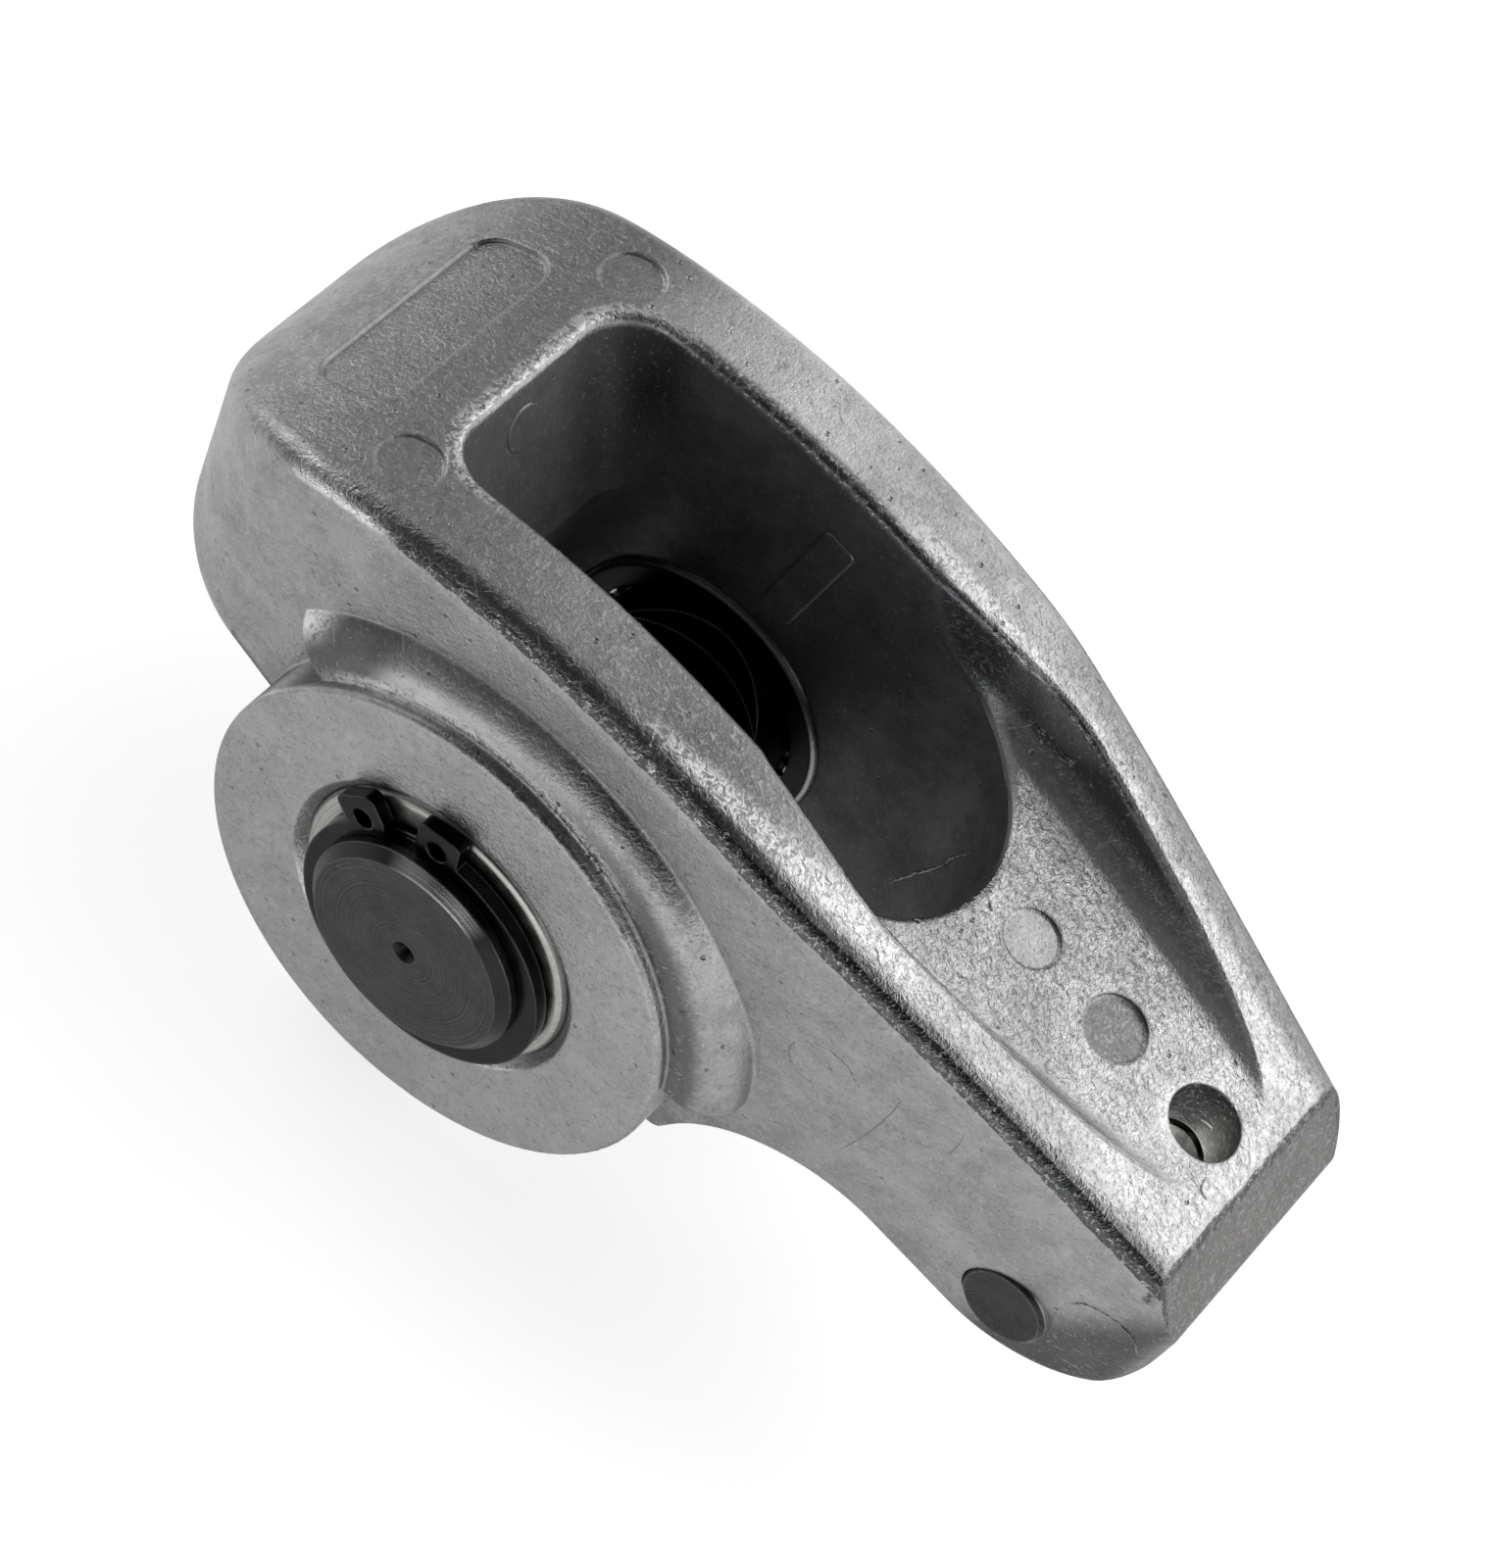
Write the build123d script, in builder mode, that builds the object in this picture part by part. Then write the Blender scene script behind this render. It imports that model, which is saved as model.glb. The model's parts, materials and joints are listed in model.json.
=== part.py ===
from build123d import *
import math
import os

# Stud-mounted roller rocker arm, die cast in aluminium, for a pushrod engine.
# Millimetres, +Z up. The origin is the centre of the trunnion, midway between the bosses.
# +X runs from the trunnion to the roller tip, +Y along the trunnion, +Z up the stud.

# Driving dimensions: lever
pivot_to_roller = 41.9
lever_ratio = 1.73
pivot_to_seat = pivot_to_roller / lever_ratio

# Driving dimensions: arm casting, plan view at the height of the crown
plan_height = 27.0
side_draft = 4.5
rear_overhang = 9.1
nose_overhang = 11.0
rear_half_width = 16.1
middle_half_width = 15.8
nose_half_width = 10.8
rear_corner = 12.0
waist_x = 16.0
nose_corner = 4.0
waist_bend = 40.0
plan_depth = 39.0

# Driving dimensions: arm casting, side view
crown_height = 26.9
crown_x = -3.0
shoulder_height = 25.5
shoulder_x = -16.2
rear_lip_height = 16.2
rear_lip_setback = 1.6
rear_lip_lead = (-0.2, -6.0)
front_shoulder_x = 19.0
front_shoulder_height = 23.9
nose_face_setback = 2.0
nose_top_height = 15.2
nose_top_back = 3.5
nose_face_height = 10.1
nose_floor_depth = 3.6
nose_round = 8.7
nose_face_edge = 0.8
nose_sag = 2.9
belly_x = 22.75
belly_height = 3.26
belly_round = 10.8
web_rear_x = -16.6
web_slope = 4.0
web_front_x = 18.3
web_bottom = -7.5
web_corner = 0.8
rear_slope_x = -25.6
rear_slope_height = 22.2
rear_floor_height = 0.3
rear_floor_slope = 21.8
ridge_fillet = 1.8
rear_floor_fillet = 4.5

# Driving dimensions: trunnion bosses and needle bearings (5/8 in shaft, 13/16 in cup)
boss_wall = 7.58125
boss_half_span = 18.15
boss_flare = 4.0
boss_flare_level = 13.2
boss_flare_depth = 1.0
boss_flare_end = 3.5
boss_flare_tilt = 13.0
boss_edge = 0.4
trunnion_radius = 15.875 / 2
cup_wall = 0.71375
cup_length = 9.525
cup_recess = 0.15
cup_lip = 0.7
cup_corner_land = 0.1
cup_chamfer = 0.84
needle_count = 34
needle_radius = 1.5875 / 2
race_clearance = 0.04
lip_clearance = 0.4
needle_end_play = 0.15

# Driving dimensions: trunnion, stud hole and retaining rings
trunnion_stand_out = 2.6
trunnion_chamfer = 0.7
centre_mark_bore = 0.15
centre_mark_radius = 0.9
centre_mark_depth = 0.8
stud_hole_radius = 5.65
nut_seat_radius = 8.15
nut_seat_height = 5.2
ring_thickness = 1.0
ring_side_play = 0.2
groove_depth = 0.4
groove_side_play = 0.05
ring_seat_play = 0.02
ring_back_width = 2.2
ring_front_width = 1.4
ring_gap = 2.5
ring_turn = 31.0
lug_height = 9.2
lug_angle = 18.6
lug_length = 3.4
lug_width = 3.2
lug_corner = 0.6
lug_hole_radius = 0.75

# Driving dimensions: stud slot
slot_half_width = 8.9
slot_front_x = 23.4
slot_rear_x = -17.4
slot_throat_x = -11.6
slot_throat_height = 12.5
slot_corner = 3.6
slot_rim_fillet = 0.8

# Driving dimensions: nose floor between the rails
floor_reference_x = 27.8
floor_reference_height = 17.9
floor_slope = 6.6
floor_rear_x = 8.5
floor_widest_x = 20.0
floor_front_x = 50.0
floor_rear_half_width = 8.2
floor_widest_half_width = 9.8
floor_bend = 20.0
floor_front_half_width = 5.6
rail_inner_slope = 10.0
floor_fillet = 3.0
floor_corner = 0.5
rail_core_height = 12.0
rail_edge = 0.6

# Driving dimensions: roller tip
roller_axis_height = 2.0
roller_radius = 7.0
roller_width = 10.4
roller_side_play = 0.25
roller_pocket_clearance = 0.7
roller_pocket_rise = 1.5
roller_pin_radius = 3.1
roller_pin_half_length = 10.8
roller_pin_clearance = 0.04
roller_edge = 0.5
pin_chamfer = 0.3

# Driving dimensions: pushrod seat
seat_radius = 5.0
seat_height = 7.4
seat_stand_out = 1.0
seat_boss_wall = 1.4
seat_boss_bottom = -3.2
seat_boss_height = 6.0
socket_radius = 4.0
socket_mouth_flare = 0.3
socket_centre = -2.4
seat_oil_radius = 0.9
seat_edge = 0.3

# Driving dimensions: oil hole, ejector marks and the blank name plate
oil_hole_x = 43.1
oil_hole_radius = 2.54
mark_depth = 0.2
mark_reach = 4.0
rear_mark_x = -18.0
rear_mark_y = 10.8
rear_mark_height = 25.05
rear_mark_radius = 2.12
rear_mark_slope = 10.0
nose_mark_x = 27.8
nose_mark_radius = 2.06
ratio_mark_x = 35.2
ratio_mark_radius = 2.3
ratio_mark_depth = 0.35
plate_x = -24.5
plate_height = 22.75
plate_length = 17.0
plate_width = 6.0
plate_corner = 2.0
plate_reach = 3.0
plate_depth = 0.3
plate_slope = 27.0

# Derived sizes
reach = 60.0
rear_end_x = -pivot_to_seat - rear_overhang
nose_end_x = pivot_to_roller + nose_overhang
cup_outer_face = boss_half_span - cup_recess
cup_inner_face = cup_outer_face - cup_length
race_radius = trunnion_radius + 2 * (needle_radius + race_clearance)
cup_outer_radius = race_radius + cup_wall
cup_corner = cup_lip - cup_corner_land
boss_radius = cup_outer_radius + boss_wall
trunnion_half_length = boss_half_span + trunnion_stand_out
needle_pitch_radius = trunnion_radius + race_clearance + needle_radius
needle_length = cup_length - 2 * cup_lip - 2 * needle_end_play
ring_inner_face = boss_half_span + ring_side_play
groove_radius = trunnion_radius - groove_depth
pocket_radius = roller_radius + roller_pocket_clearance
pocket_height = roller_axis_height + roller_pocket_rise
pocket_half_width = roller_width / 2 + roller_side_play
seat_bottom = seat_boss_bottom - seat_stand_out
seat_top = seat_bottom + seat_height
sides = {"near": -1, "far": 1}
nose_front_x = nose_end_x - nose_face_setback
nose_top_x = nose_front_x - nose_top_back
nose_bottom_height = -nose_floor_depth - nose_sag
marks = [
    (rear_mark_x, rear_mark_y, rear_mark_radius, mark_depth),
    (rear_mark_x, -rear_mark_y, rear_mark_radius, mark_depth),
    (nose_mark_x, 0, nose_mark_radius, mark_depth),
    (ratio_mark_x, 0, ratio_mark_radius, ratio_mark_depth),
]


def floor_height(x):
    """Height of the nose floor over a point on the centre line."""
    return floor_reference_height - (x - floor_reference_x) * math.tan(math.radians(floor_slope))


def rail_height(x):
    """Height of the rails, falling evenly from the front shoulder to the top of the nose."""
    fall = (front_shoulder_height - nose_top_height) / (nose_top_x - front_shoulder_x)
    return front_shoulder_height - fall * (x - front_shoulder_x)


def on_rail_crest(edge):
    """Whether an edge of the sunk nose floor lies on the top of a rail."""
    middle = edge @ 0.5
    beside_floor = floor_reference_x < middle.X < nose_front_x
    return beside_floor and middle.Z > rail_height(middle.X)


def rear_floor_z(x):
    """Height of the sloping floor under the rear end."""
    return rear_floor_height - (x + pivot_to_seat) * math.tan(math.radians(rear_floor_slope))


def mark_height(x):
    """Height of the top surface under a mark: the crown at the rear, the floor at the nose."""
    return floor_height(x) if x > 0 else rear_mark_height


def surface_normal(x):
    """Normal of the top surface at a mark."""
    slope = floor_slope if x > 0 else -rear_mark_slope
    return (math.sin(math.radians(slope)), 0, math.cos(math.radians(slope)))


os.makedirs("parts", exist_ok=True)

# Stud core: the slot that the stud and its nut pass through
with BuildPart() as stud_core:
    with BuildSketch(Plane.XZ):
        with BuildLine():
            lean = (slot_throat_x - slot_rear_x) / (shoulder_height - slot_throat_height)
            top_x = slot_rear_x - lean * (reach - shoulder_height)
            Polyline(
                (slot_throat_x, -reach),
                (slot_throat_x, slot_throat_height),
                (top_x, reach),
                (slot_front_x - slot_half_width, reach),
                (slot_front_x - slot_half_width, -reach),
                close=True,
            )
        make_face()
    extrude(amount=slot_half_width, both=True)
    rear_edges = stud_core.edges().filter_by(lambda e: e.center().X < slot_throat_x + 0.1)
    fillet(rear_edges.filter_by(GeomType.LINE).filter_by(Axis.Y, reverse=True), slot_corner)
    with BuildSketch(Plane.XY.offset(-reach)):
        with Locations((slot_front_x - slot_half_width, 0)):
            Circle(slot_half_width)
    extrude(amount=2 * reach)
stud_core.part.label = "stud_core"

# Nose core: the sunk floor between the two rails
floor_plane = Plane(
    origin=(floor_reference_x, 0, floor_reference_height),
    x_dir=(math.cos(math.radians(floor_slope)), 0, -math.sin(math.radians(floor_slope))),
    z_dir=(math.sin(math.radians(floor_slope)), 0, math.cos(math.radians(floor_slope))),
)
with BuildPart() as nose_core:
    with BuildSketch(floor_plane):
        with BuildLine():
            FilletPolyline(
                (floor_rear_x - floor_reference_x, 0),
                (floor_rear_x - floor_reference_x, floor_rear_half_width),
                (floor_widest_x - floor_reference_x, floor_widest_half_width),
                (floor_front_x - floor_reference_x, floor_front_half_width),
                (floor_front_x - floor_reference_x, 0),
                radius=(floor_corner, floor_bend, floor_corner),
            )
            mirror(about=Plane.XZ)
        make_face()
    extrude(amount=rail_core_height, taper=-rail_inner_slope)
    fillet(nose_core.faces().sort_by(Axis.Z)[0].edges(), floor_fillet)
nose_core.part.label = "nose_core"

# Roller core: the fork pocket that the tip roller turns in, open below
with BuildPart() as roller_core:
    with BuildSketch(Plane.XZ):
        with Locations((pivot_to_roller, pocket_height)):
            Circle(pocket_radius)
        with Locations((pivot_to_roller, pocket_height - pocket_radius)):
            Rectangle(2 * pocket_radius, 2 * pocket_radius)
    extrude(amount=pocket_half_width, both=True)
roller_core.part.label = "roller_core"

# Side outline: crowned top, slanted nose face, rounded nose, arched belly, sloping rear floor
with BuildSketch(Plane.XZ.offset(-reach)) as side_outline:
    with BuildLine():
        lower = FilletPolyline(
            (-reach, rear_floor_z(-reach)),
            (web_rear_x, rear_floor_z(web_rear_x)),
            (web_rear_x + web_slope, web_bottom),
            (web_front_x, web_bottom),
            (belly_x, belly_height),
            (nose_front_x, nose_bottom_height),
            (nose_front_x, nose_face_height),
            (nose_top_x, nose_top_height),
            radius=(web_corner, web_corner, web_corner, belly_round, nose_round, nose_face_edge),
        )
        crown = Spline(
            (nose_top_x, nose_top_height),
            (front_shoulder_x, front_shoulder_height),
            (crown_x, crown_height),
            (shoulder_x, shoulder_height),
            (rear_slope_x, rear_slope_height),
            (rear_end_x + rear_lip_setback, rear_lip_height),
            (rear_end_x + rear_lip_lead[0], rear_lip_height + rear_lip_lead[1]),
        )
        Line(crown @ 1, lower @ 0)
    make_face()

# Flares that blend the bosses into the side walls
with BuildPart() as flares:
    for side in sides.values():
        with BuildSketch(Plane.XY):
            with BuildLine():
                root_level = side * boss_flare_level
                root_inner = side * (boss_flare_level - boss_flare_depth)
                root_top = side * (boss_flare_level + boss_flare)
                bend = RadiusArc(
                    (boss_radius, root_top),
                    (boss_radius + boss_flare, root_level),
                    side * boss_flare,
                )
                Polyline(
                    bend @ 1,
                    (boss_radius + boss_flare, root_inner),
                    (boss_radius - boss_flare_depth, root_inner),
                    (boss_radius - boss_flare_depth, root_top),
                    bend @ 0,
                )
            make_face()
        revolve(axis=Axis.Y)
    extrude(side_outline.sketch, amount=2 * reach, mode=Mode.INTERSECT)
    # The flares run out under a line that rises towards the rear
    run_out = Plane(
        origin=(boss_radius, 0, boss_flare_end),
        z_dir=(math.sin(math.radians(boss_flare_tilt)), 0, math.cos(math.radians(boss_flare_tilt))),
    )
    split(bisect_by=run_out, keep=Keep.TOP)
flares.part.label = "flares"

# Plate core: the sunk name plate, whose bare floor follows the crown
plate_up = (-math.sin(math.radians(plate_slope)), 0, math.cos(math.radians(plate_slope)))
plate_plane = Plane(origin=(plate_x, 0, plate_height), x_dir=(plate_up[2], 0, -plate_up[0]), z_dir=plate_up)
sunk_outline = Pos(-plate_depth * plate_up[0], 0, -plate_depth * plate_up[2]) * side_outline.sketch
with BuildPart() as plate_core:
    with BuildSketch(plate_plane):
        RectangleRounded(plate_width, plate_length, plate_corner)
    extrude(amount=plate_reach, both=True)
    extrude(sunk_outline, amount=2 * reach, mode=Mode.SUBTRACT)
plate_core.part.label = "plate_core"

# Arm casting
with BuildPart() as arm_body:
    # Plan outline drawn down with the draft of the die
    with BuildSketch(Plane.XY.offset(plan_height)):
        with BuildLine():
            FilletPolyline(
                (rear_end_x, 0),
                (rear_end_x, rear_half_width),
                (waist_x, middle_half_width),
                (nose_end_x, nose_half_width),
                (nose_end_x, 0),
                radius=(rear_corner, waist_bend, nose_corner),
            )
            mirror(about=Plane.XZ)
        make_face()
    extrude(amount=-plan_depth, taper=side_draft)

    # Cut to the side outline
    extrude(side_outline.sketch, amount=2 * reach, mode=Mode.INTERSECT)

    # Rounded ridge round the crown
    crown_face = arm_body.faces().sort_by(Axis.Z)[-1]
    fillet(crown_face.edges(), ridge_fillet)

    # Trunnion bosses and their flares
    for side in sides.values():
        with BuildSketch(Plane.XZ.offset(-side * slot_half_width)):
            Circle(boss_radius)
        extrude(amount=-side * (boss_half_span - slot_half_width))

    # Rounded lower edge of the rear end, from boss to boss
    floor_point = (-pivot_to_seat, 0, rear_floor_height)
    rear_floor = arm_body.faces().sort_by_distance(floor_point)[0]
    rear_floor_edges = rear_floor.edges().filter_by(lambda e: e.center().X < -boss_radius)
    fillet(rear_floor_edges, rear_floor_fillet)
    add(flares.part)

    # Pushrod seat boss under the rear end
    with BuildSketch(Plane.XY.offset(seat_boss_bottom)):
        with Locations((-pivot_to_seat, 0)):
            Circle(seat_radius + seat_boss_wall)
    extrude(amount=seat_boss_height)

    # Stud slot and its rounded rim
    add(stud_core.part, mode=Mode.SUBTRACT)
    rim = arm_body.edges(Select.LAST).filter_by(lambda e: e.center().Z > 20.0)
    fillet(rim, slot_rim_fillet)

    # Sunk nose floor and roller fork
    add(nose_core.part, mode=Mode.SUBTRACT)
    rails = arm_body.edges(Select.LAST).filter_by(on_rail_crest)
    fillet(rails, rail_edge)
    add(roller_core.part, mode=Mode.SUBTRACT)

    # Bearing bores with their lead-in chamfers, and the roller pin hole
    with BuildSketch(Plane.XZ):
        Circle(cup_outer_radius)
    extrude(amount=reach, both=True, mode=Mode.SUBTRACT)
    bore_mouths = (
        arm_body.edges()
        .filter_by(GeomType.CIRCLE)
        .filter_by(lambda e: abs(e.radius - cup_outer_radius) < 0.01)
        .filter_by(lambda e: abs(e.center().Y) > boss_half_span - 0.01)
    )
    chamfer(bore_mouths, cup_chamfer)
    with BuildSketch(Plane.XZ):
        with Locations((pivot_to_roller, roller_axis_height)):
            Circle(roller_pin_radius)
    extrude(amount=reach, both=True, mode=Mode.SUBTRACT)

    # Pushrod seat bore
    with BuildSketch(Plane.XY.offset(-reach)):
        with Locations((-pivot_to_seat, 0)):
            Circle(seat_radius)
    extrude(amount=reach + seat_top, mode=Mode.SUBTRACT)

    # Oil hole down to the roller
    with BuildSketch(Plane.XY):
        with Locations((oil_hole_x, 0)):
            Circle(oil_hole_radius)
    extrude(amount=reach, mode=Mode.SUBTRACT)

    # Ejector marks, the bare ratio disc and the bare name plate
    for x, y, radius, depth in marks:
        mark_plane = Plane(origin=(x, y, mark_height(x) - depth), z_dir=surface_normal(x))
        with BuildSketch(mark_plane):
            Circle(radius)
        extrude(amount=mark_reach, mode=Mode.SUBTRACT)
    add(plate_core.part, mode=Mode.SUBTRACT)

    # Broken rims of the machined boss faces
    boss_rims = (
        arm_body.edges()
        .filter_by(GeomType.CIRCLE)
        .filter_by(lambda e: abs(e.radius - boss_radius) < 0.01)
        .filter_by(lambda e: abs(e.center().Y) > boss_half_span - 0.01)
    )
    fillet(boss_rims, boss_edge)
arm_body.part.label = "arm_body"
export_step(arm_body.part, "parts/arm_body.step")

# Trunnion: hardened cross shaft with the stud hole and the seat for the stud nut
with BuildPart() as trunnion:
    with BuildSketch(Plane.XZ):
        Circle(trunnion_radius)
    extrude(amount=trunnion_half_length, both=True)
    chamfer(trunnion.edges().filter_by(GeomType.CIRCLE), trunnion_chamfer)
    for side in sides.values():
        with BuildSketch(Plane.XZ.offset(-side * (ring_inner_face - groove_side_play))):
            Circle(trunnion_radius + groove_depth)
            Circle(groove_radius, mode=Mode.SUBTRACT)
        extrude(amount=-side * (ring_thickness + 2 * groove_side_play), mode=Mode.SUBTRACT)
        with Locations(Plane(origin=(0, side * trunnion_half_length, 0), z_dir=(0, side, 0))):
            CounterSinkHole(centre_mark_bore, centre_mark_radius, depth=centre_mark_depth)
    with BuildSketch(Plane.XY.offset(nut_seat_height)):
        Circle(nut_seat_radius)
    extrude(amount=trunnion_radius, mode=Mode.SUBTRACT)
    with BuildSketch(Plane.XY):
        Circle(stud_hole_radius)
    extrude(amount=reach, both=True, mode=Mode.SUBTRACT)
trunnion.part.label = "trunnion"
export_step(trunnion.part, "parts/trunnion.step")


# Drawn needle cups, pressed into the bosses
def cup_profile(side):
    """Half section of a drawn cup, from its outer lip to its inner lip."""
    outer = side * cup_outer_face
    inner = side * cup_inner_face
    lip = side * cup_lip
    return [
        (cup_outer_radius, outer),
        (trunnion_radius + lip_clearance, outer),
        (trunnion_radius + lip_clearance, outer - lip),
        (race_radius, outer - lip),
        (race_radius, inner + lip),
        (trunnion_radius + lip_clearance, inner + lip),
        (trunnion_radius + lip_clearance, inner),
        (cup_outer_radius, inner),
    ]


for name, side in sides.items():
    with BuildPart() as cup:
        with BuildSketch(Plane.XY) as section:
            with BuildLine():
                Polyline(*cup_profile(side), close=True)
            make_face()
            corners = section.vertices().filter_by(lambda v: v.X > cup_outer_radius - 0.01)
            fillet(corners, cup_corner)
        revolve(axis=Axis.Y)
    cup.part.label = name + "_cup"
    export_step(cup.part, "parts/" + name + "_cup.step")

# Full complements of needle rollers, free between the cup and the trunnion
for name, side in sides.items():
    with BuildPart() as needles:
        start = side * (cup_outer_face - cup_lip - needle_end_play)
        with BuildSketch(Plane.XZ.offset(-start)):
            with PolarLocations(needle_pitch_radius, needle_count):
                Circle(needle_radius)
        extrude(amount=side * needle_length)
    needles.part.label = name + "_needles"
    export_step(needles.part, "parts/" + name + "_needles.step")

# External retaining rings with two lugs each, sprung into the trunnion grooves
for name, side in sides.items():
    first_lug = -side * 90 - lug_angle
    with BuildPart() as ring:
        ring_plane = Plane(
            origin=(0, side * ring_inner_face, 0),
            x_dir=(math.cos(math.radians(ring_turn)), 0, math.sin(math.radians(ring_turn))),
            z_dir=(0, side, 0),
        )
        with BuildSketch(ring_plane):
            with Locations((0, side * (ring_back_width - ring_front_width) / 2)):
                Circle(groove_radius + (ring_back_width + ring_front_width) / 2)
            with PolarLocations(lug_height, 2, first_lug, 2 * lug_angle, endpoint=True):
                RectangleRounded(lug_length, lug_width, lug_corner)
            Circle(groove_radius + ring_seat_play, mode=Mode.SUBTRACT)
            with PolarLocations(lug_height, 2, first_lug, 2 * lug_angle, endpoint=True):
                Circle(lug_hole_radius, mode=Mode.SUBTRACT)
            with Locations((0, -side * lug_height)):
                Rectangle(ring_gap, lug_height, mode=Mode.SUBTRACT)
        extrude(amount=ring_thickness)
    ring.part.label = name + "_ring"
    export_step(ring.part, "parts/" + name + "_ring.step")

# Roller pin, pressed through the fork of the nose
with BuildPart() as roller_pin:
    with BuildSketch(Plane.XZ):
        with Locations((pivot_to_roller, roller_axis_height)):
            Circle(roller_pin_radius)
    extrude(amount=roller_pin_half_length, both=True)
    chamfer(roller_pin.edges().filter_by(GeomType.CIRCLE), pin_chamfer)
roller_pin.part.label = "roller_pin"
export_step(roller_pin.part, "parts/roller_pin.step")

# Roller tip that bears on the valve stem
with BuildPart() as roller_tip:
    with BuildSketch(Plane.XZ):
        with Locations((pivot_to_roller, roller_axis_height)):
            Circle(roller_radius)
    extrude(amount=roller_width / 2, both=True)
    chamfer(roller_tip.edges().filter_by(GeomType.CIRCLE), roller_edge)
    with BuildSketch(Plane.XZ):
        with Locations((pivot_to_roller, roller_axis_height)):
            Circle(roller_pin_radius + roller_pin_clearance)
    extrude(amount=roller_width, both=True, mode=Mode.SUBTRACT)
roller_tip.part.label = "roller_tip"
export_step(roller_tip.part, "parts/roller_tip.step")

# Pushrod seat: hardened insert with a ball socket, pressed into the rear boss
with BuildPart() as pushrod_seat:
    with BuildSketch(Plane.XY.offset(seat_bottom)):
        with Locations((-pivot_to_seat, 0)):
            Circle(seat_radius)
    extrude(amount=seat_height)
    chamfer(pushrod_seat.edges().group_by(Axis.Z)[0], seat_edge)
    with BuildSketch(Plane.XZ):
        with BuildLine():
            socket = [
                (-pivot_to_seat, socket_centre + socket_radius),
                (-pivot_to_seat + socket_radius, socket_centre),
                (-pivot_to_seat + socket_radius + socket_mouth_flare, seat_bottom),
                (-pivot_to_seat, seat_bottom),
            ]
            CenterArc((-pivot_to_seat, socket_centre), socket_radius, 0, 90)
            Polyline(socket[1], socket[2], socket[3], socket[0])
        make_face()
    revolve(axis=Axis((-pivot_to_seat, 0, 0), (0, 0, 1)), mode=Mode.SUBTRACT)
    with BuildSketch(Plane.XY):
        with Locations((-pivot_to_seat, 0)):
            Circle(seat_oil_radius)
    extrude(amount=reach, mode=Mode.SUBTRACT)
pushrod_seat.part.label = "pushrod_seat"
export_step(pushrod_seat.part, "parts/pushrod_seat.step")
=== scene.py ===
# %% [markdown]
# # A roller rocker arm, dressed for its picture
#
# The metal shapes come from the imported model: a die-cast arm, a black trunnion in two needle
# bearings, a pressed roller pin, a ground roller and a hardened pushrod seat. This lesson gives
# them their real finishes, with light and shade painted into some of them, adds the small forms
# that a foundry leaves behind, and sets up a soft studio. Everything is in metres, in the frame of
# the trunnion.

# %% Load the imported model
import bmesh
import bpy
import json
import math
import random
from mathutils import Matrix, Vector


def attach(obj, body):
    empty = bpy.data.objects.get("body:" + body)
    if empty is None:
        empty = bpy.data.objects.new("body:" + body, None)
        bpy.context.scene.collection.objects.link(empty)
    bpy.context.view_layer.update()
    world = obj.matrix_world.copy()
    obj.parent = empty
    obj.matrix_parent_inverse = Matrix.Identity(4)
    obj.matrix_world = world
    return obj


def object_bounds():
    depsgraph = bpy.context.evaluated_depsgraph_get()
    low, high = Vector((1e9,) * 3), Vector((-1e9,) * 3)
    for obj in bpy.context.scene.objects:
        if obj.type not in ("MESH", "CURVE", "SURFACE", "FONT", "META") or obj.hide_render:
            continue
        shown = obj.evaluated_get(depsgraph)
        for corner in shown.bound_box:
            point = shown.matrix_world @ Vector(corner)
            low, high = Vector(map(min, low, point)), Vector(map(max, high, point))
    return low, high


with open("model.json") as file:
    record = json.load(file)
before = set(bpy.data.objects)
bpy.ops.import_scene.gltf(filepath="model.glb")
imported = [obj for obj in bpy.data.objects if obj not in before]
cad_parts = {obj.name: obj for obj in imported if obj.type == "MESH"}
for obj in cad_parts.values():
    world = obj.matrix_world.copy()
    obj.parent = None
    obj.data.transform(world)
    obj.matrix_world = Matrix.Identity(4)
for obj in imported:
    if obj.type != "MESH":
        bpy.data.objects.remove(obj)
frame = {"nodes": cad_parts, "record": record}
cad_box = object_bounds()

nodes = frame["nodes"]
print("nodes:", sorted(nodes))
print("box at load:", [round(v * 1000, 2) for corner in cad_box for v in corner])

# %% [markdown]
# ## Camera
#
# The photograph looks down on the near side of the arm, with a long lens and the arm turned on
# the paper. The camera stands where the round bosses, the stud slot and the nose line up with
# the picture, so it is placed by a position and three directions instead of a tracking rule.

# %% Place the camera
FOCAL_PIXELS = 4771.7
LONG_SIDE_PIXELS = 1600
SENSOR_WIDTH = 36.0
CAMERA_PLACE = Vector((0.03240, -0.16774, 0.24883))
IMAGE_RIGHT = Vector((0.72681761, 0.59558043, 0.34208202))
IMAGE_DOWN = Vector((0.68174276, -0.56507618, -0.46466732))
LOOKING = Vector((-0.08344436, 0.57094033, -0.81673997))

camera_data = bpy.data.cameras.new("camera")
camera_data.sensor_width = SENSOR_WIDTH
camera_data.lens = FOCAL_PIXELS * SENSOR_WIDTH / LONG_SIDE_PIXELS
camera_data.clip_start = 0.01
camera_data.clip_end = 20.0
camera = bpy.data.objects.new("camera", camera_data)
bpy.context.scene.collection.objects.link(camera)
turn = Matrix((IMAGE_RIGHT, -IMAGE_DOWN, -LOOKING)).transposed()
camera.matrix_world = Matrix.Translation(CAMERA_PLACE) @ turn.to_4x4()
bpy.context.scene.camera = camera
print("lens in millimetres:", round(camera_data.lens, 2))

# %% [markdown]
# ## A little shorthand for shader nodes
#
# Every finish below is a small tree of nodes. Written out in full, each node would take several
# lines, and the idea of the finish would drown in them. So a few helpers do the common steps:
# they add a node, join two sockets, calculate with sockets as if they were numbers, and read
# where a surface point lies and which way it faces.


# %% Helpers for node trees
FLOAT = "NodeSocketFloat"
VECTOR = "NodeSocketVector"
COLOUR_MIX_INPUTS = (0, 6, 7)
COLOUR_MIX_OUTPUT = 2


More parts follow.
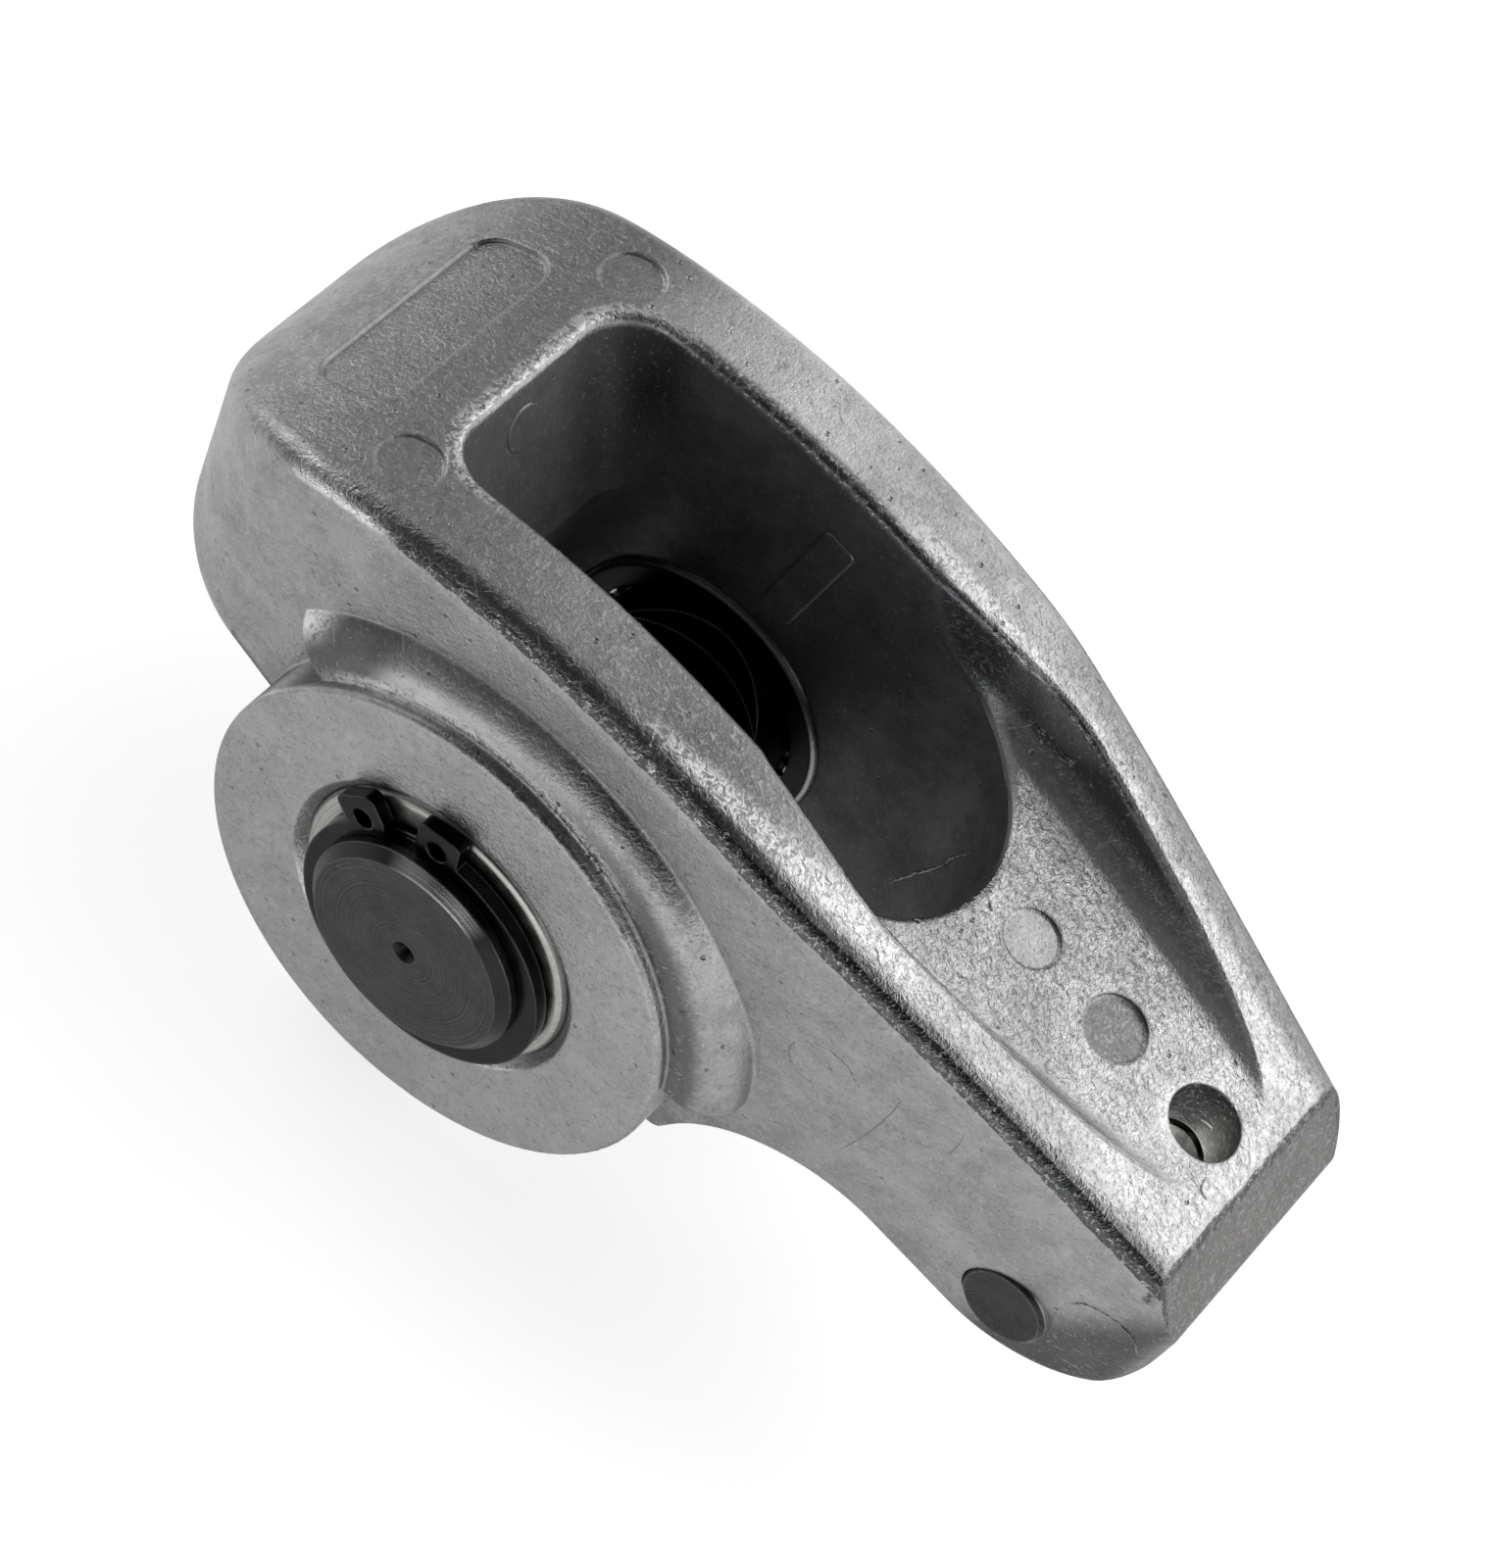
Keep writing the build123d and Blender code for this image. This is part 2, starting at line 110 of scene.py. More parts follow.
def add_node(tree, kind, values=None, **properties):
    """A node of that kind, with its properties set and the named input values filled in."""
    made = tree.nodes.new(kind)
    for name, value in properties.items():
        setattr(made, name, value)
    for name, value in (values or {}).items():
        made.inputs[name].default_value = value
    return made


def join(tree, source, target):
    """Links an output socket to an input socket."""
    tree.links.new(source, target)


def calc(tree, operation, first, second=None):
    """A Math node. Each operand is a number or a socket; the result socket comes back."""
    made = add_node(tree, "ShaderNodeMath", operation=operation)
    for place, operand in enumerate((first, second)):
        if operand is None:
            continue
        if isinstance(operand, (int, float)):
            made.inputs[place].default_value = operand
        else:
            join(tree, operand, made.inputs[place])
    return made.outputs[0]


def remap(tree, source, low, high, to_low=0.0, to_high=1.0, smooth=True):
    """Maps a value from one span to another, held at both ends."""
    made = add_node(
        tree,
        "ShaderNodeMapRange",
        {"From Min": low, "From Max": high, "To Min": to_low, "To Max": to_high},
        interpolation_type="SMOOTHSTEP" if smooth else "LINEAR",
    )
    join(tree, source, made.inputs["Value"])
    return made.outputs["Result"]


def blend_colour(tree, factor, first, second):
    """Mixes two colours, each a socket or a tuple, by a factor that is a socket or a number."""
    made = add_node(tree, "ShaderNodeMix", data_type="RGBA", blend_type="MIX")
    for place, value in zip(COLOUR_MIX_INPUTS, (factor, first, second)):
        if isinstance(value, (int, float)):
            made.inputs[place].default_value = value
        elif isinstance(value, tuple):
            made.inputs[place].default_value = (*value, 1.0)
        else:
            join(tree, value, made.inputs[place])
    return made.outputs[COLOUR_MIX_OUTPUT]


def distance_from(tree, first, second):
    """How far a point is from an axis, by its two distances at right angles."""
    squares = calc(tree, "ADD", calc(tree, "MULTIPLY", first, first), calc(tree, "MULTIPLY", second, second))
    return calc(tree, "SQRT", squares)


def point_axes(tree, output):
    """The X, Y and Z of a surface point's place, "Object", or direction, "Normal", in the arm's frame."""
    point = add_node(tree, "ShaderNodeTexCoord")
    axes = add_node(tree, "ShaderNodeSeparateXYZ")
    join(tree, point.outputs[output], axes.inputs["Vector"])
    return axes.outputs["X"], axes.outputs["Y"], axes.outputs["Z"]


def new_group(title, inputs, outputs):
    """A shader node group with its named sockets, and its input and output nodes."""
    tree = bpy.data.node_groups.new(title, "ShaderNodeTree")
    for name, kind, value in inputs:
        socket = tree.interface.new_socket(name, in_out="INPUT", socket_type=kind)
        if value is not None:
            socket.default_value = value
    for name, kind in outputs:
        tree.interface.new_socket(name, in_out="OUTPUT", socket_type=kind)
    return tree, tree.nodes.new("NodeGroupInput"), tree.nodes.new("NodeGroupOutput")


def use_group(tree, group, values=None):
    """Places a group in a material and fills in its values."""
    made = add_node(tree, "ShaderNodeGroup", node_tree=group)
    for name, value in (values or {}).items():
        made.inputs[name].default_value = value
    return made


print("socket kinds:", FLOAT, VECTOR)

# %% [markdown]
# ## Effects that several finishes share
#
# Die-cast aluminium is never one grey. It has cloudy patches where the melt cooled, a fine
# grain from tumbling, and small dents. Machined steel shows rings from the lathe. Both have
# hairline scratches and bright worn edges. Each effect could be copied into every material, but
# then a change would have to be made many times. So each is one node group, and every material
# uses it with its own sizes.

# %% Cloudy patches, fine grain, crinkle and pits
PIT_SPAN = (0.20, 0.06)
CELLS_WITH_A_PIT = (0.80, 0.84)
mottle, mottle_in, mottle_out = new_group(
    "cast mottle",
    [
        ("Patch Scale", FLOAT, 330.0),
        ("Grain Scale", FLOAT, 3600.0),
        ("Crinkle Scale", FLOAT, 1500.0),
        ("Pit Scale", FLOAT, 900.0),
    ],
    [("Patches", FLOAT), ("Grain", FLOAT), ("Crinkle", FLOAT), ("Pits", FLOAT)],
)
place = add_node(mottle, "ShaderNodeTexCoord")
patches = add_node(mottle, "ShaderNodeTexNoise", {"Detail": 8.0, "Roughness": 0.72})
grain = add_node(mottle, "ShaderNodeTexNoise", {"Detail": 3.0, "Roughness": 0.7})
crinkle = add_node(mottle, "ShaderNodeTexNoise", {"Detail": 2.5, "Roughness": 0.6, "Distortion": 1.6})
pits = add_node(mottle, "ShaderNodeTexVoronoi", feature="F1")
for texture, scale_name in (
    (patches, "Patch Scale"),
    (grain, "Grain Scale"),
    (crinkle, "Crinkle Scale"),
    (pits, "Pit Scale"),
):
    join(mottle, place.outputs["Object"], texture.inputs["Vector"])
    join(mottle, mottle_in.outputs[scale_name], texture.inputs["Scale"])
join(mottle, remap(mottle, patches.outputs["Fac"], 0.30, 0.70), mottle_out.inputs["Patches"])
join(mottle, grain.outputs["Fac"], mottle_out.inputs["Grain"])
join(mottle, crinkle.outputs["Fac"], mottle_out.inputs["Crinkle"])
chosen = add_node(mottle, "ShaderNodeSeparateColor")
join(mottle, pits.outputs["Color"], chosen.inputs["Color"])
hollow = remap(mottle, pits.outputs["Distance"], *PIT_SPAN)
some = remap(mottle, chosen.outputs["Red"], *CELLS_WITH_A_PIT)
join(mottle, calc(mottle, "MULTIPLY", hollow, some), mottle_out.inputs["Pits"])
print("shared effect:", mottle.name)

# %% Hairline scratches, short and straight, in three directions
SCRATCH_TURNS = [(0.05, 0.35, 0.10), (0.10, -0.45, 0.60), (-0.08, 0.90, -0.70)]
SCRATCH_SPAN = (0.76, 0.81)
scratches, scratches_in, scratches_out = new_group(
    "hairline scratches",
    [("Scale", FLOAT, 4200.0), ("Stretch", FLOAT, 0.035), ("Amount", FLOAT, 0.5)],
    [("Lines", FLOAT)],
)
place = add_node(scratches, "ShaderNodeTexCoord")
fields = []
for angle in SCRATCH_TURNS:
    stretch = add_node(scratches, "ShaderNodeCombineXYZ", {"Y": 1.0, "Z": 1.0})
    join(scratches, scratches_in.outputs["Stretch"], stretch.inputs["X"])
    turned = add_node(scratches, "ShaderNodeMapping", {"Rotation": angle})
    join(scratches, place.outputs["Object"], turned.inputs["Vector"])
    drawn_out = add_node(scratches, "ShaderNodeVectorMath", operation="MULTIPLY")
    join(scratches, turned.outputs["Vector"], drawn_out.inputs[0])
    join(scratches, stretch.outputs["Vector"], drawn_out.inputs[1])
    lines = add_node(scratches, "ShaderNodeTexNoise", {"Detail": 0.0})
    join(scratches, drawn_out.outputs["Vector"], lines.inputs["Vector"])
    join(scratches, scratches_in.outputs["Scale"], lines.inputs["Scale"])
    fields.append(remap(scratches, lines.outputs["Fac"], *SCRATCH_SPAN))
most = calc(scratches, "MAXIMUM", calc(scratches, "MAXIMUM", fields[0], fields[1]), fields[2])
most = calc(scratches, "MULTIPLY", most, scratches_in.outputs["Amount"])
join(scratches, most, scratches_out.inputs["Lines"])
print("shared effect:", scratches.name)

# %% Worn edges, found where a rounded normal leaves the flat one
WEAR_SPAN = (0.02, 0.16)
WEAR_GAIN = 2.0
edge_wear, edge_in, edge_out = new_group(
    "edge wear",
    [("Radius", FLOAT, 0.0006), ("Breakup", FLOAT, 700.0)],
    [("Mask", FLOAT), ("Soft Normal", VECTOR)],
)
rounded = add_node(edge_wear, "ShaderNodeBevel", samples=6)
join(edge_wear, edge_in.outputs["Radius"], rounded.inputs["Radius"])
plain = add_node(edge_wear, "ShaderNodeNewGeometry")
agree = add_node(edge_wear, "ShaderNodeVectorMath", operation="DOT_PRODUCT")
join(edge_wear, rounded.outputs["Normal"], agree.inputs[0])
join(edge_wear, plain.outputs["Normal"], agree.inputs[1])
place = add_node(edge_wear, "ShaderNodeTexCoord")
ragged = add_node(edge_wear, "ShaderNodeTexNoise", {"Detail": 4.0})
join(edge_wear, place.outputs["Object"], ragged.inputs["Vector"])
join(edge_wear, edge_in.outputs["Breakup"], ragged.inputs["Scale"])
bent = calc(edge_wear, "SUBTRACT", 1.0, agree.outputs["Value"])
worn = calc(edge_wear, "MULTIPLY", bent, calc(edge_wear, "MULTIPLY", ragged.outputs["Fac"], WEAR_GAIN))
join(edge_wear, remap(edge_wear, worn, *WEAR_SPAN), edge_out.inputs["Mask"])
join(edge_wear, rounded.outputs["Normal"], edge_out.inputs["Soft Normal"])
print("shared effect:", edge_wear.name)

# %% Rings left by the lathe round an axis along Y
turning, turning_in, turning_out = new_group(
    "turning rings",
    [("Centre X", FLOAT, 0.0), ("Ring Scale", FLOAT, 1800.0)],
    [("Rings", FLOAT), ("Radius", FLOAT)],
)
along, _, upright = point_axes(turning, "Object")
across = calc(turning, "SUBTRACT", along, turning_in.outputs["Centre X"])
radius = distance_from(turning, across, upright)
ring_noise = add_node(
    turning, "ShaderNodeTexNoise", {"Detail": 4.0, "Roughness": 0.75}, noise_dimensions="1D"
)
join(turning, radius, ring_noise.inputs["W"])
join(turning, turning_in.outputs["Ring Scale"], ring_noise.inputs["Scale"])
join(turning, ring_noise.outputs["Fac"], turning_out.inputs["Rings"])
join(turning, radius, turning_out.inputs["Radius"])
print("shared effects in all:", [group.name for group in bpy.data.node_groups])


# %% Helpers for materials
def new_material(title, metallic=1.0, roughness=0.4):
    """A material with one Principled shader, and its tree."""
    made = bpy.data.materials.new(title)
    made.use_nodes = True
    tree = made.node_tree
    shader = tree.nodes["Principled BSDF"]
    shader.inputs["Metallic"].default_value = metallic
    shader.inputs["Roughness"].default_value = roughness
    return made, tree, shader


def relief(tree, shader, height, strength, depth, normal=None):
    """A Bump node from a height socket to the shader's normal."""
    made = add_node(tree, "ShaderNodeBump", {"Strength": strength, "Distance": depth})
    join(tree, height, made.inputs["Height"])
    if normal is not None:
        join(tree, normal, made.inputs["Normal"])
    join(tree, made.outputs["Normal"], shader.inputs["Normal"])


def product(tree, *masks):
    """All the masks multiplied together."""
    result = masks[0]
    for mask in masks[1:]:
        result = calc(tree, "MULTIPLY", result, mask)
    return result


def largest(tree, *masks):
    """The largest of the masks at each point."""
    result = masks[0]
    for mask in masks[1:]:
        result = calc(tree, "MAXIMUM", result, mask)
    return result


def inverse(tree, mask):
    """One where the mask is nought, and nought where it is one."""
    return calc(tree, "SUBTRACT", 1.0, mask)


def beyond(tree, value, limit):
    """How far a value is past a limit, and nought before it."""
    return calc(tree, "MAXIMUM", calc(tree, "SUBTRACT", value, limit), 0.0)


def zone(tree, *limits):
    """A mask of the places where all the limits hold.

    A limit is another mask, or a socket with the two values between which the zone sets in.
    """
    masks = []
    for limit in limits:
        masks.append(remap(tree, *limit) if isinstance(limit, tuple) else limit)
    return product(tree, *masks)


def toned(tree, mask, tone):
    """A tone that holds where the mask is one, and fades to no change."""
    return calc(tree, "ADD", 1.0, calc(tree, "MULTIPLY", mask, calc(tree, "SUBTRACT", tone, 1.0)))


def scaled(tree, colour, tone):
    """A colour times a tone that changes over the surface."""
    made = add_node(tree, "ShaderNodeVectorMath", operation="SCALE")
    join(tree, colour, made.inputs[0])
    join(tree, tone, made.inputs["Scale"])
    return made.outputs["Vector"]


def grey(tree, brightness):
    """A grey whose brightness is a socket."""
    made = add_node(tree, "ShaderNodeCombineColor")
    for channel in ("Red", "Green", "Blue"):
        join(tree, brightness, made.inputs[channel])
    return made.outputs["Color"]


def layered(tree, colour, *coats):
    """Lays coats over a colour in turn. A coat is a mask, its strength and its colour."""
    for mask, strength, paint in coats:
        colour = blend_colour(tree, calc(tree, "MULTIPLY", mask, strength), colour, paint)
    return colour


# %% [markdown]
# ## Die-cast aluminium
#
# The arm is cast in a steel die and tumbled with stones: a light grey metal with soft glints,
# darker clouds and fine pits. The rails and the sunk floor of the nose are rougher, and they are
# painted brighter as painted light. The inside of the stud slot is smooth and dark, a stained skin
# darkened further with painted shade, and the faces of the two bosses are machined flat. Painted
# pictures would need unwrapping and would blur close up. So one material reads the place and the
# direction of each point in the arm's own frame, and masks made from them choose between the
# finishes and lay painted highlights, painted shade and dark painted reflections. Because they
# belong to the arm and not to the room, they travel with it when it rocks. In a zone below, each
# limit names what it reads, then the value where the zone begins to set in and the value where it
# is full.

# %% Sizes of the casting that its finish follows, in metres
SLOT_HALF_WIDTH = 0.0089
SLOT_ROUND_X = 0.0145
SLOT_REAR_X = -0.0174
SLOT_CORNER = 0.0036
RIM_WIDTH = 0.0011
BOSS_FACE_Y = 0.01815
BOSS_RADIUS = 0.0179
COVE_RADIUS = 0.0220
COVE_SHADE_RADIUS = 0.0204
OIL_HOLE_X = 0.0431
OIL_HOLE_RADIUS = 0.00254
NOSE_TOP_X = 0.0474
FLANK_HALF = 0.015728
FLANK_TAPER = 0.1294
FLANK_DRAFT = 0.0758
MARKS = [(0.0352, 0.0, 0.0023), (0.0278, 0.0, 0.00206), (-0.0180, 0.0108, 0.00212)]

OUT_OF_BELLY = (0.0132, 0.0136)
UNDER_BOSS_FACE = (BOSS_FACE_Y - 0.0002, BOSS_FACE_Y - 0.0008)
RAIL_BEGINS = (SLOT_ROUND_X, SLOT_ROUND_X + 0.004)
print("marks on the casting:", len(MARKS))

# %% Places, directions and distances on the casting
cast, tree, shader = new_material("cast aluminium", roughness=0.34)
x, y, z = point_axes(tree, "Object")
toward_x, toward_y, toward_z = point_axes(tree, "Normal")
half = calc(tree, "ABSOLUTE", y)
sideways = calc(tree, "ABSOLUTE", toward_y)
clouds = use_group(tree, mottle, {"Patch Scale": 300.0, "Grain Scale": 3400.0, "Crinkle Scale": 1750.0})
hairs = use_group(tree, scratches, {"Scale": 4600.0, "Stretch": 0.07, "Amount": 0.45})
edges = use_group(tree, edge_wear, {"Radius": 0.0004, "Breakup": 900.0})
patches, grain = clouds.outputs["Patches"], clouds.outputs["Grain"]
crinkle, lines = clouds.outputs["Crinkle"], hairs.outputs["Lines"]

from_trunnion = distance_from(tree, x, z)
from_middle = distance_from(tree, beyond(tree, x, SLOT_ROUND_X), y)
from_hole = distance_from(tree, calc(tree, "SUBTRACT", x, OIL_HOLE_X), y)
past_rear = beyond(tree, SLOT_REAR_X + SLOT_CORNER, x)
past_side = beyond(tree, half, SLOT_HALF_WIDTH - SLOT_CORNER)
from_corner = distance_from(tree, past_rear, past_side)
from_slot = largest(
    tree,
    calc(tree, "SUBTRACT", from_corner, SLOT_CORNER),
    calc(tree, "SUBTRACT", from_middle, SLOT_HALF_WIDTH),
)
drafted = calc(tree, "ADD", calc(tree, "MULTIPLY", z, FLANK_DRAFT), FLANK_HALF)
flank_half = calc(tree, "ADD", calc(tree, "MULTIPLY", x, -FLANK_TAPER), drafted)
flank_gap = calc(tree, "SUBTRACT", flank_half, half)
print("cast aluminium after its distances:", len(tree.nodes), "nodes")

# %% Zones of the slot, the nose and the oil hole
machined = remap(tree, half, BOSS_FACE_Y - 0.00006, BOSS_FACE_Y - 0.00002)
upward = remap(tree, toward_z, 0.30, 0.75)
inside = zone(
    tree,
    (from_middle, SLOT_HALF_WIDTH + 0.0003, SLOT_HALF_WIDTH + 0.00005),
    (x, SLOT_REAR_X - 0.0003, SLOT_REAR_X - 0.00005),
    (calc(tree, "ABSOLUTE", toward_z), 0.75, 0.25),
)
outside = inverse(tree, inside)
rear_wall = zone(tree, inside, (x, -0.0105, -0.0125))
rim = zone(
    tree,
    (from_slot, 0.00002, 0.00010),
    (from_slot, RIM_WIDTH + 0.0002, RIM_WIDTH - 0.0003),
    (z, 0.017, 0.019),
    (x, 0.019, 0.014),
)
# Painted light on the slot's rim: the far rim is painted dark as painted shade under its top edge, the rear
# rim gets a crinkled painted highlight, and bright flecks on the far rim are painted glints.
far_rim_shade = zone(tree, rim, (y, 0.0060, 0.0085), (x, -0.0150, -0.0115))
rear_rim_highlight = zone(tree, rim, (x, -0.0100, -0.0150), (crinkle, 0.44, 0.56))
rim_highlight_flecks = zone(tree, far_rim_shade, (x, 0.009, 0.003), (grain, 0.54, 0.62))
# Painted highlight: a bright curved line painted along the slot's front lip.
lip = zone(
    tree,
    (from_middle, SLOT_HALF_WIDTH + 0.0008, SLOT_HALF_WIDTH + 0.0003),
    (x, SLOT_ROUND_X, SLOT_ROUND_X + 0.003),
    (y, 0.0010, 0.0045),
    (toward_z, 0.10, 0.35),
)
nose = zone(tree, (x, 0.004, 0.026), upward, (z, 0.006, 0.010))
# Painted shade: the nose's end face, which faces forward, is painted darker.
nose_end_shade = zone(tree, (toward_x, 0.60, 0.78), (x, 0.0462, 0.0472))
# Painted light: the rear of the nose and the front of its sunk floor are painted brighter, as the light
# falls on them.
nose_rear = zone(tree, nose, (x, 0.030, 0.022), (half, 0.0105, 0.0095))
floor_front = zone(tree, nose, (x, 0.030, 0.042), (half, 0.0095, 0.0080), (sideways, 0.30, 0.10))
# Painted shade: the wall of the oil hole is painted nearly black.
oil_wall_shade = zone(tree, (from_hole, OIL_HOLE_RADIUS + 0.0001, OIL_HOLE_RADIUS), (z, 0.004, 0.006))
print("cast aluminium after its slot and nose:", len(tree.nodes), "nodes")

# %% Zones of the rails and the ridges, with painted highlights, painted shade and dark painted reflections
NOSE_RIDGE_STRENGTH = 0.62
TEARING = 0.9
# Painted shade: the inner walls of the rails by the nose are painted nearly black.
rail_wall_shade = zone(tree, (sideways, 0.50, 0.97), (half, 0.0104, 0.0098), (x, *RAIL_BEGINS), outside)
# Painted light: the fillet at the foot of those walls is painted a lighter grey, and it is made less
# metallic below.
inner_fillet_light = zone(
    tree,
    (sideways, 0.12, 0.45),
    (half, 0.0108, 0.0102),
    (x, *RAIL_BEGINS),
    (y, 0.0, 0.002),
    outside,
)
# Painted light and shade: across the rounded far rail the tone runs from dark by the flank to bright toward
# the slot.
far_rail = zone(tree, (x, 0.014, 0.022), (y, 0.0070, 0.0085), upward)
# Painted highlights: bright crinkled streaks along the rails, beside the ridge on the near side and beside
# the slot on the far side.
near_highlight_streak = zone(
    tree,
    (x, -0.001, 0.008),
    (x, 0.030, 0.022),
    (flank_gap, 0.0018, 0.0024),
    (flank_gap, 0.0046, 0.0032),
    (y, 0.0, -0.002),
)
far_highlight_streak = zone(tree, (x, 0.002, 0.009), (x, 0.020, 0.016), (y, 0.0095, 0.0100), (y, 0.0117, 0.0109))
rail_highlight_streak = product(
    tree,
    upward,
    remap(tree, crinkle, 0.40, 0.58, 0.15, 1.0),
    largest(tree, near_highlight_streak, far_highlight_streak),
)
# Painted reflection: the rounded ridges between crown and flanks, and the top edge of the nose's end, are
# painted nearly black with ragged borders, standing in for the dark room they mirror. Bright flecks on them
# are painted glints.
ridge_line = zone(
    tree,
    (toward_z, 0.22, 0.38),
    (toward_z, 0.88, 0.76),
    (half, 0.0094, 0.0099),
    (from_trunnion, COVE_RADIUS, COVE_RADIUS + 0.0006),
    (x, -0.0180, -0.0130),
    largest(tree, remap(tree, x, 0.002, 0.016), remap(tree, toward_z, 0.74, 0.58)),
)
nose_ridge = zone(
    tree,
    (x, NOSE_TOP_X - 0.0004, NOSE_TOP_X + 0.0001),
    (x, NOSE_TOP_X + 0.0012, NOSE_TOP_X + 0.0003),
    (z, 0.0115, 0.0130),
)
ragged = add_node(tree, "ShaderNodeTexNoise", {"Scale": 1700.0, "Detail": 3.0, "Roughness": 0.7})
join(tree, add_node(tree, "ShaderNodeTexCoord").outputs["Object"], ragged.inputs["Vector"])
dark_reflection_band = largest(tree, ridge_line, calc(tree, "MULTIPLY", nose_ridge, NOSE_RIDGE_STRENGTH))
ragged_reflection_band = calc(tree, "ADD", dark_reflection_band, calc(tree, "MULTIPLY", ragged.outputs["Fac"], TEARING))
ridge = remap(tree, ragged_reflection_band, 0.88, 1.12)
ridge_highlight_flecks = zone(tree, ridge, (grain, 0.57, 0.64))
# Painted highlight: a broken bright patch at the rear of the near ridge.
ridge_glint = zone(
    tree,
    (toward_z, 0.25, 0.45),
    (toward_z, 0.93, 0.80),
    (x, -0.0235, -0.0215),
    (x, -0.0150, -0.0175),
    (y, -0.0120, -0.0130),
)
broken_glint = product(tree, ridge_glint, remap(tree, crinkle, 0.30, 0.46, 0.35, 1.0))
print("cast aluminium after its rails and ridges:", len(tree.nodes), "nodes")

# %% Zones of the bosses, and the round marks
# Painted light and shade round the bosses: the cove between boss face and flank is painted light grey at its
# rear, darkening to nearly black at its front.
cove = zone(
    tree,
    (x, -0.0165, -0.0110),
    (from_trunnion, BOSS_RADIUS - 0.0001, BOSS_RADIUS + 0.0002),
    (from_trunnion, COVE_SHADE_RADIUS, COVE_SHADE_RADIUS - 0.0012),
    (half, *OUT_OF_BELLY),
    (half, *UNDER_BOSS_FACE),
)
cove_glint = zone(
    tree,
    cove,
    (x, 0.011, 0.006),
    (from_trunnion, BOSS_RADIUS + 0.0011, BOSS_RADIUS + 0.0004),
    (crinkle, 0.38, 0.52),
)
# Painted light: the outer rise of the cove is painted a middle grey, and it is made partly less metallic
# below.
cove_rise_light = zone(
    tree,
    (x, 0.007, -0.002),
    (x, -0.0132, -0.0114),
    (from_trunnion, COVE_SHADE_RADIUS - 0.0010, COVE_SHADE_RADIUS),
    (from_trunnion, COVE_RADIUS + 0.0002, COVE_RADIUS - 0.0006),
    (half, 0.0132, 0.0138),
    (half, *UNDER_BOSS_FACE),
)
# Painted shade: the cut rear end of the boss flare is painted dark, and it is made rougher below, to quiet
# its highlight.
flare_end_shade = zone(
    tree,
    (x, -0.0098, -0.0126),
    (toward_x, -0.02, -0.12),
    (from_trunnion, COVE_RADIUS + 0.0004, COVE_RADIUS),
    (half, *OUT_OF_BELLY),
    (half, *UNDER_BOSS_FACE),
)
# Painted highlight: a bright crescent on the lower edge of the bearing bore.
bore_edge_highlight = zone(tree, (from_trunnion, 0.0118, 0.0113), (half, 0.0150, 0.0165), (z, -0.0030, -0.0070))
discs = []
for mark_x, mark_y, mark_radius in MARKS:
    from_mark = distance_from(tree, calc(tree, "SUBTRACT", x, mark_x), calc(tree, "SUBTRACT", half, mark_y))
    discs.append(zone(tree, (from_mark, mark_radius, mark_radius - 0.0003), upward))
marks = largest(tree, *discs)
unmarked = inverse(tree, marks)
# The pits are sunk by the bump and also painted dark: painted shade in the dents.
pitted = product(tree, clouds.outputs["Pits"], unmarked)
print("cast aluminium after its bosses and marks:", len(tree.nodes), "nodes")

# %% [markdown]
# ## The colours of the casting
#
# The first layer is a dull metal, and on the nose a metal painted brighter as painted light, each
# between two greys, times a soft tone for each region. The tones of the crown, the nose and the far
# rail are painted light and shade, and one more tone darkens the metal towards the bottom. The dark
# skin of the slot comes next, a stain darkened further with painted shade. Then the local coats go
# on in turn, from broad painted shade and painted highlights to hairlines, as a painter would lay
# them. One list of coats is easier to read and to change than a separate Mix node for each.

# %% Broad tones of the metal
DULL_METAL = ((0.31, 0.312, 0.316), (0.42, 0.422, 0.426))
# The nose's metal is painted lighter than the rest: painted light where the nose tilts toward the light.
LIT_NOSE_METAL = ((0.43, 0.432, 0.435), (0.58, 0.583, 0.587))
MILLED_METAL = ((0.37, 0.372, 0.375), (0.435, 0.437, 0.441))
# The slot's dark skin: a stain, darkened further with painted shade.
SLOT_SKIN_AND_SHADE = ((0.060, 0.062, 0.061), (0.115, 0.118, 0.117))
# Painted shade: how dark the rear of the crown is painted.
CROWN_REAR_SHADE = 0.80
# How much brighter the rear of the nose and the front of its floor are painted: painted light.
NOSE_REAR_LIGHT = 1.12
FLOOR_FRONT_LIGHT = 1.30

# Painted light and shade on the crowned top: lighter toward the far side, darker toward the front and at the
# rear.
crown = zone(tree, upward, (x, 0.020, 0.008), (z, 0.016, 0.020))
across_crown = remap(tree, y, -0.016, 0.013, 0.73, 1.75)
along_crown = remap(tree, x, -0.006, 0.006, 1.0, 0.62)
crown_change = calc(tree, "SUBTRACT", product(tree, across_crown, along_crown), CROWN_REAR_SHADE)
crown_front = remap(tree, x, -0.020, -0.010)
crown_light_tone = calc(tree, "ADD", CROWN_REAR_SHADE, calc(tree, "MULTIPLY", crown_front, crown_change))
tones = product(
    tree,
    # Painted light and shade on the crown.
    toned(tree, crown, crown_light_tone),
    # Painted light on the rear of the nose.
    toned(tree, nose_rear, NOSE_REAR_LIGHT),
    # Painted light and shade across the far rail.
    toned(tree, far_rail, remap(tree, flank_gap, 0.0022, 0.0038, 0.60, 1.15)),
    # Painted light on the front of the nose's floor.
    toned(tree, floor_front, FLOOR_FRONT_LIGHT),
    # Darker towards the bottom.
    remap(tree, z, -0.010, 0.005, 0.60, 1.0),
)
dull = blend_colour(tree, patches, *DULL_METAL)
# Painted light: the nose takes the lighter metal.
bright = blend_colour(tree, patches, *LIT_NOSE_METAL)
colour = scaled(tree, blend_colour(tree, nose, dull, bright), tones)

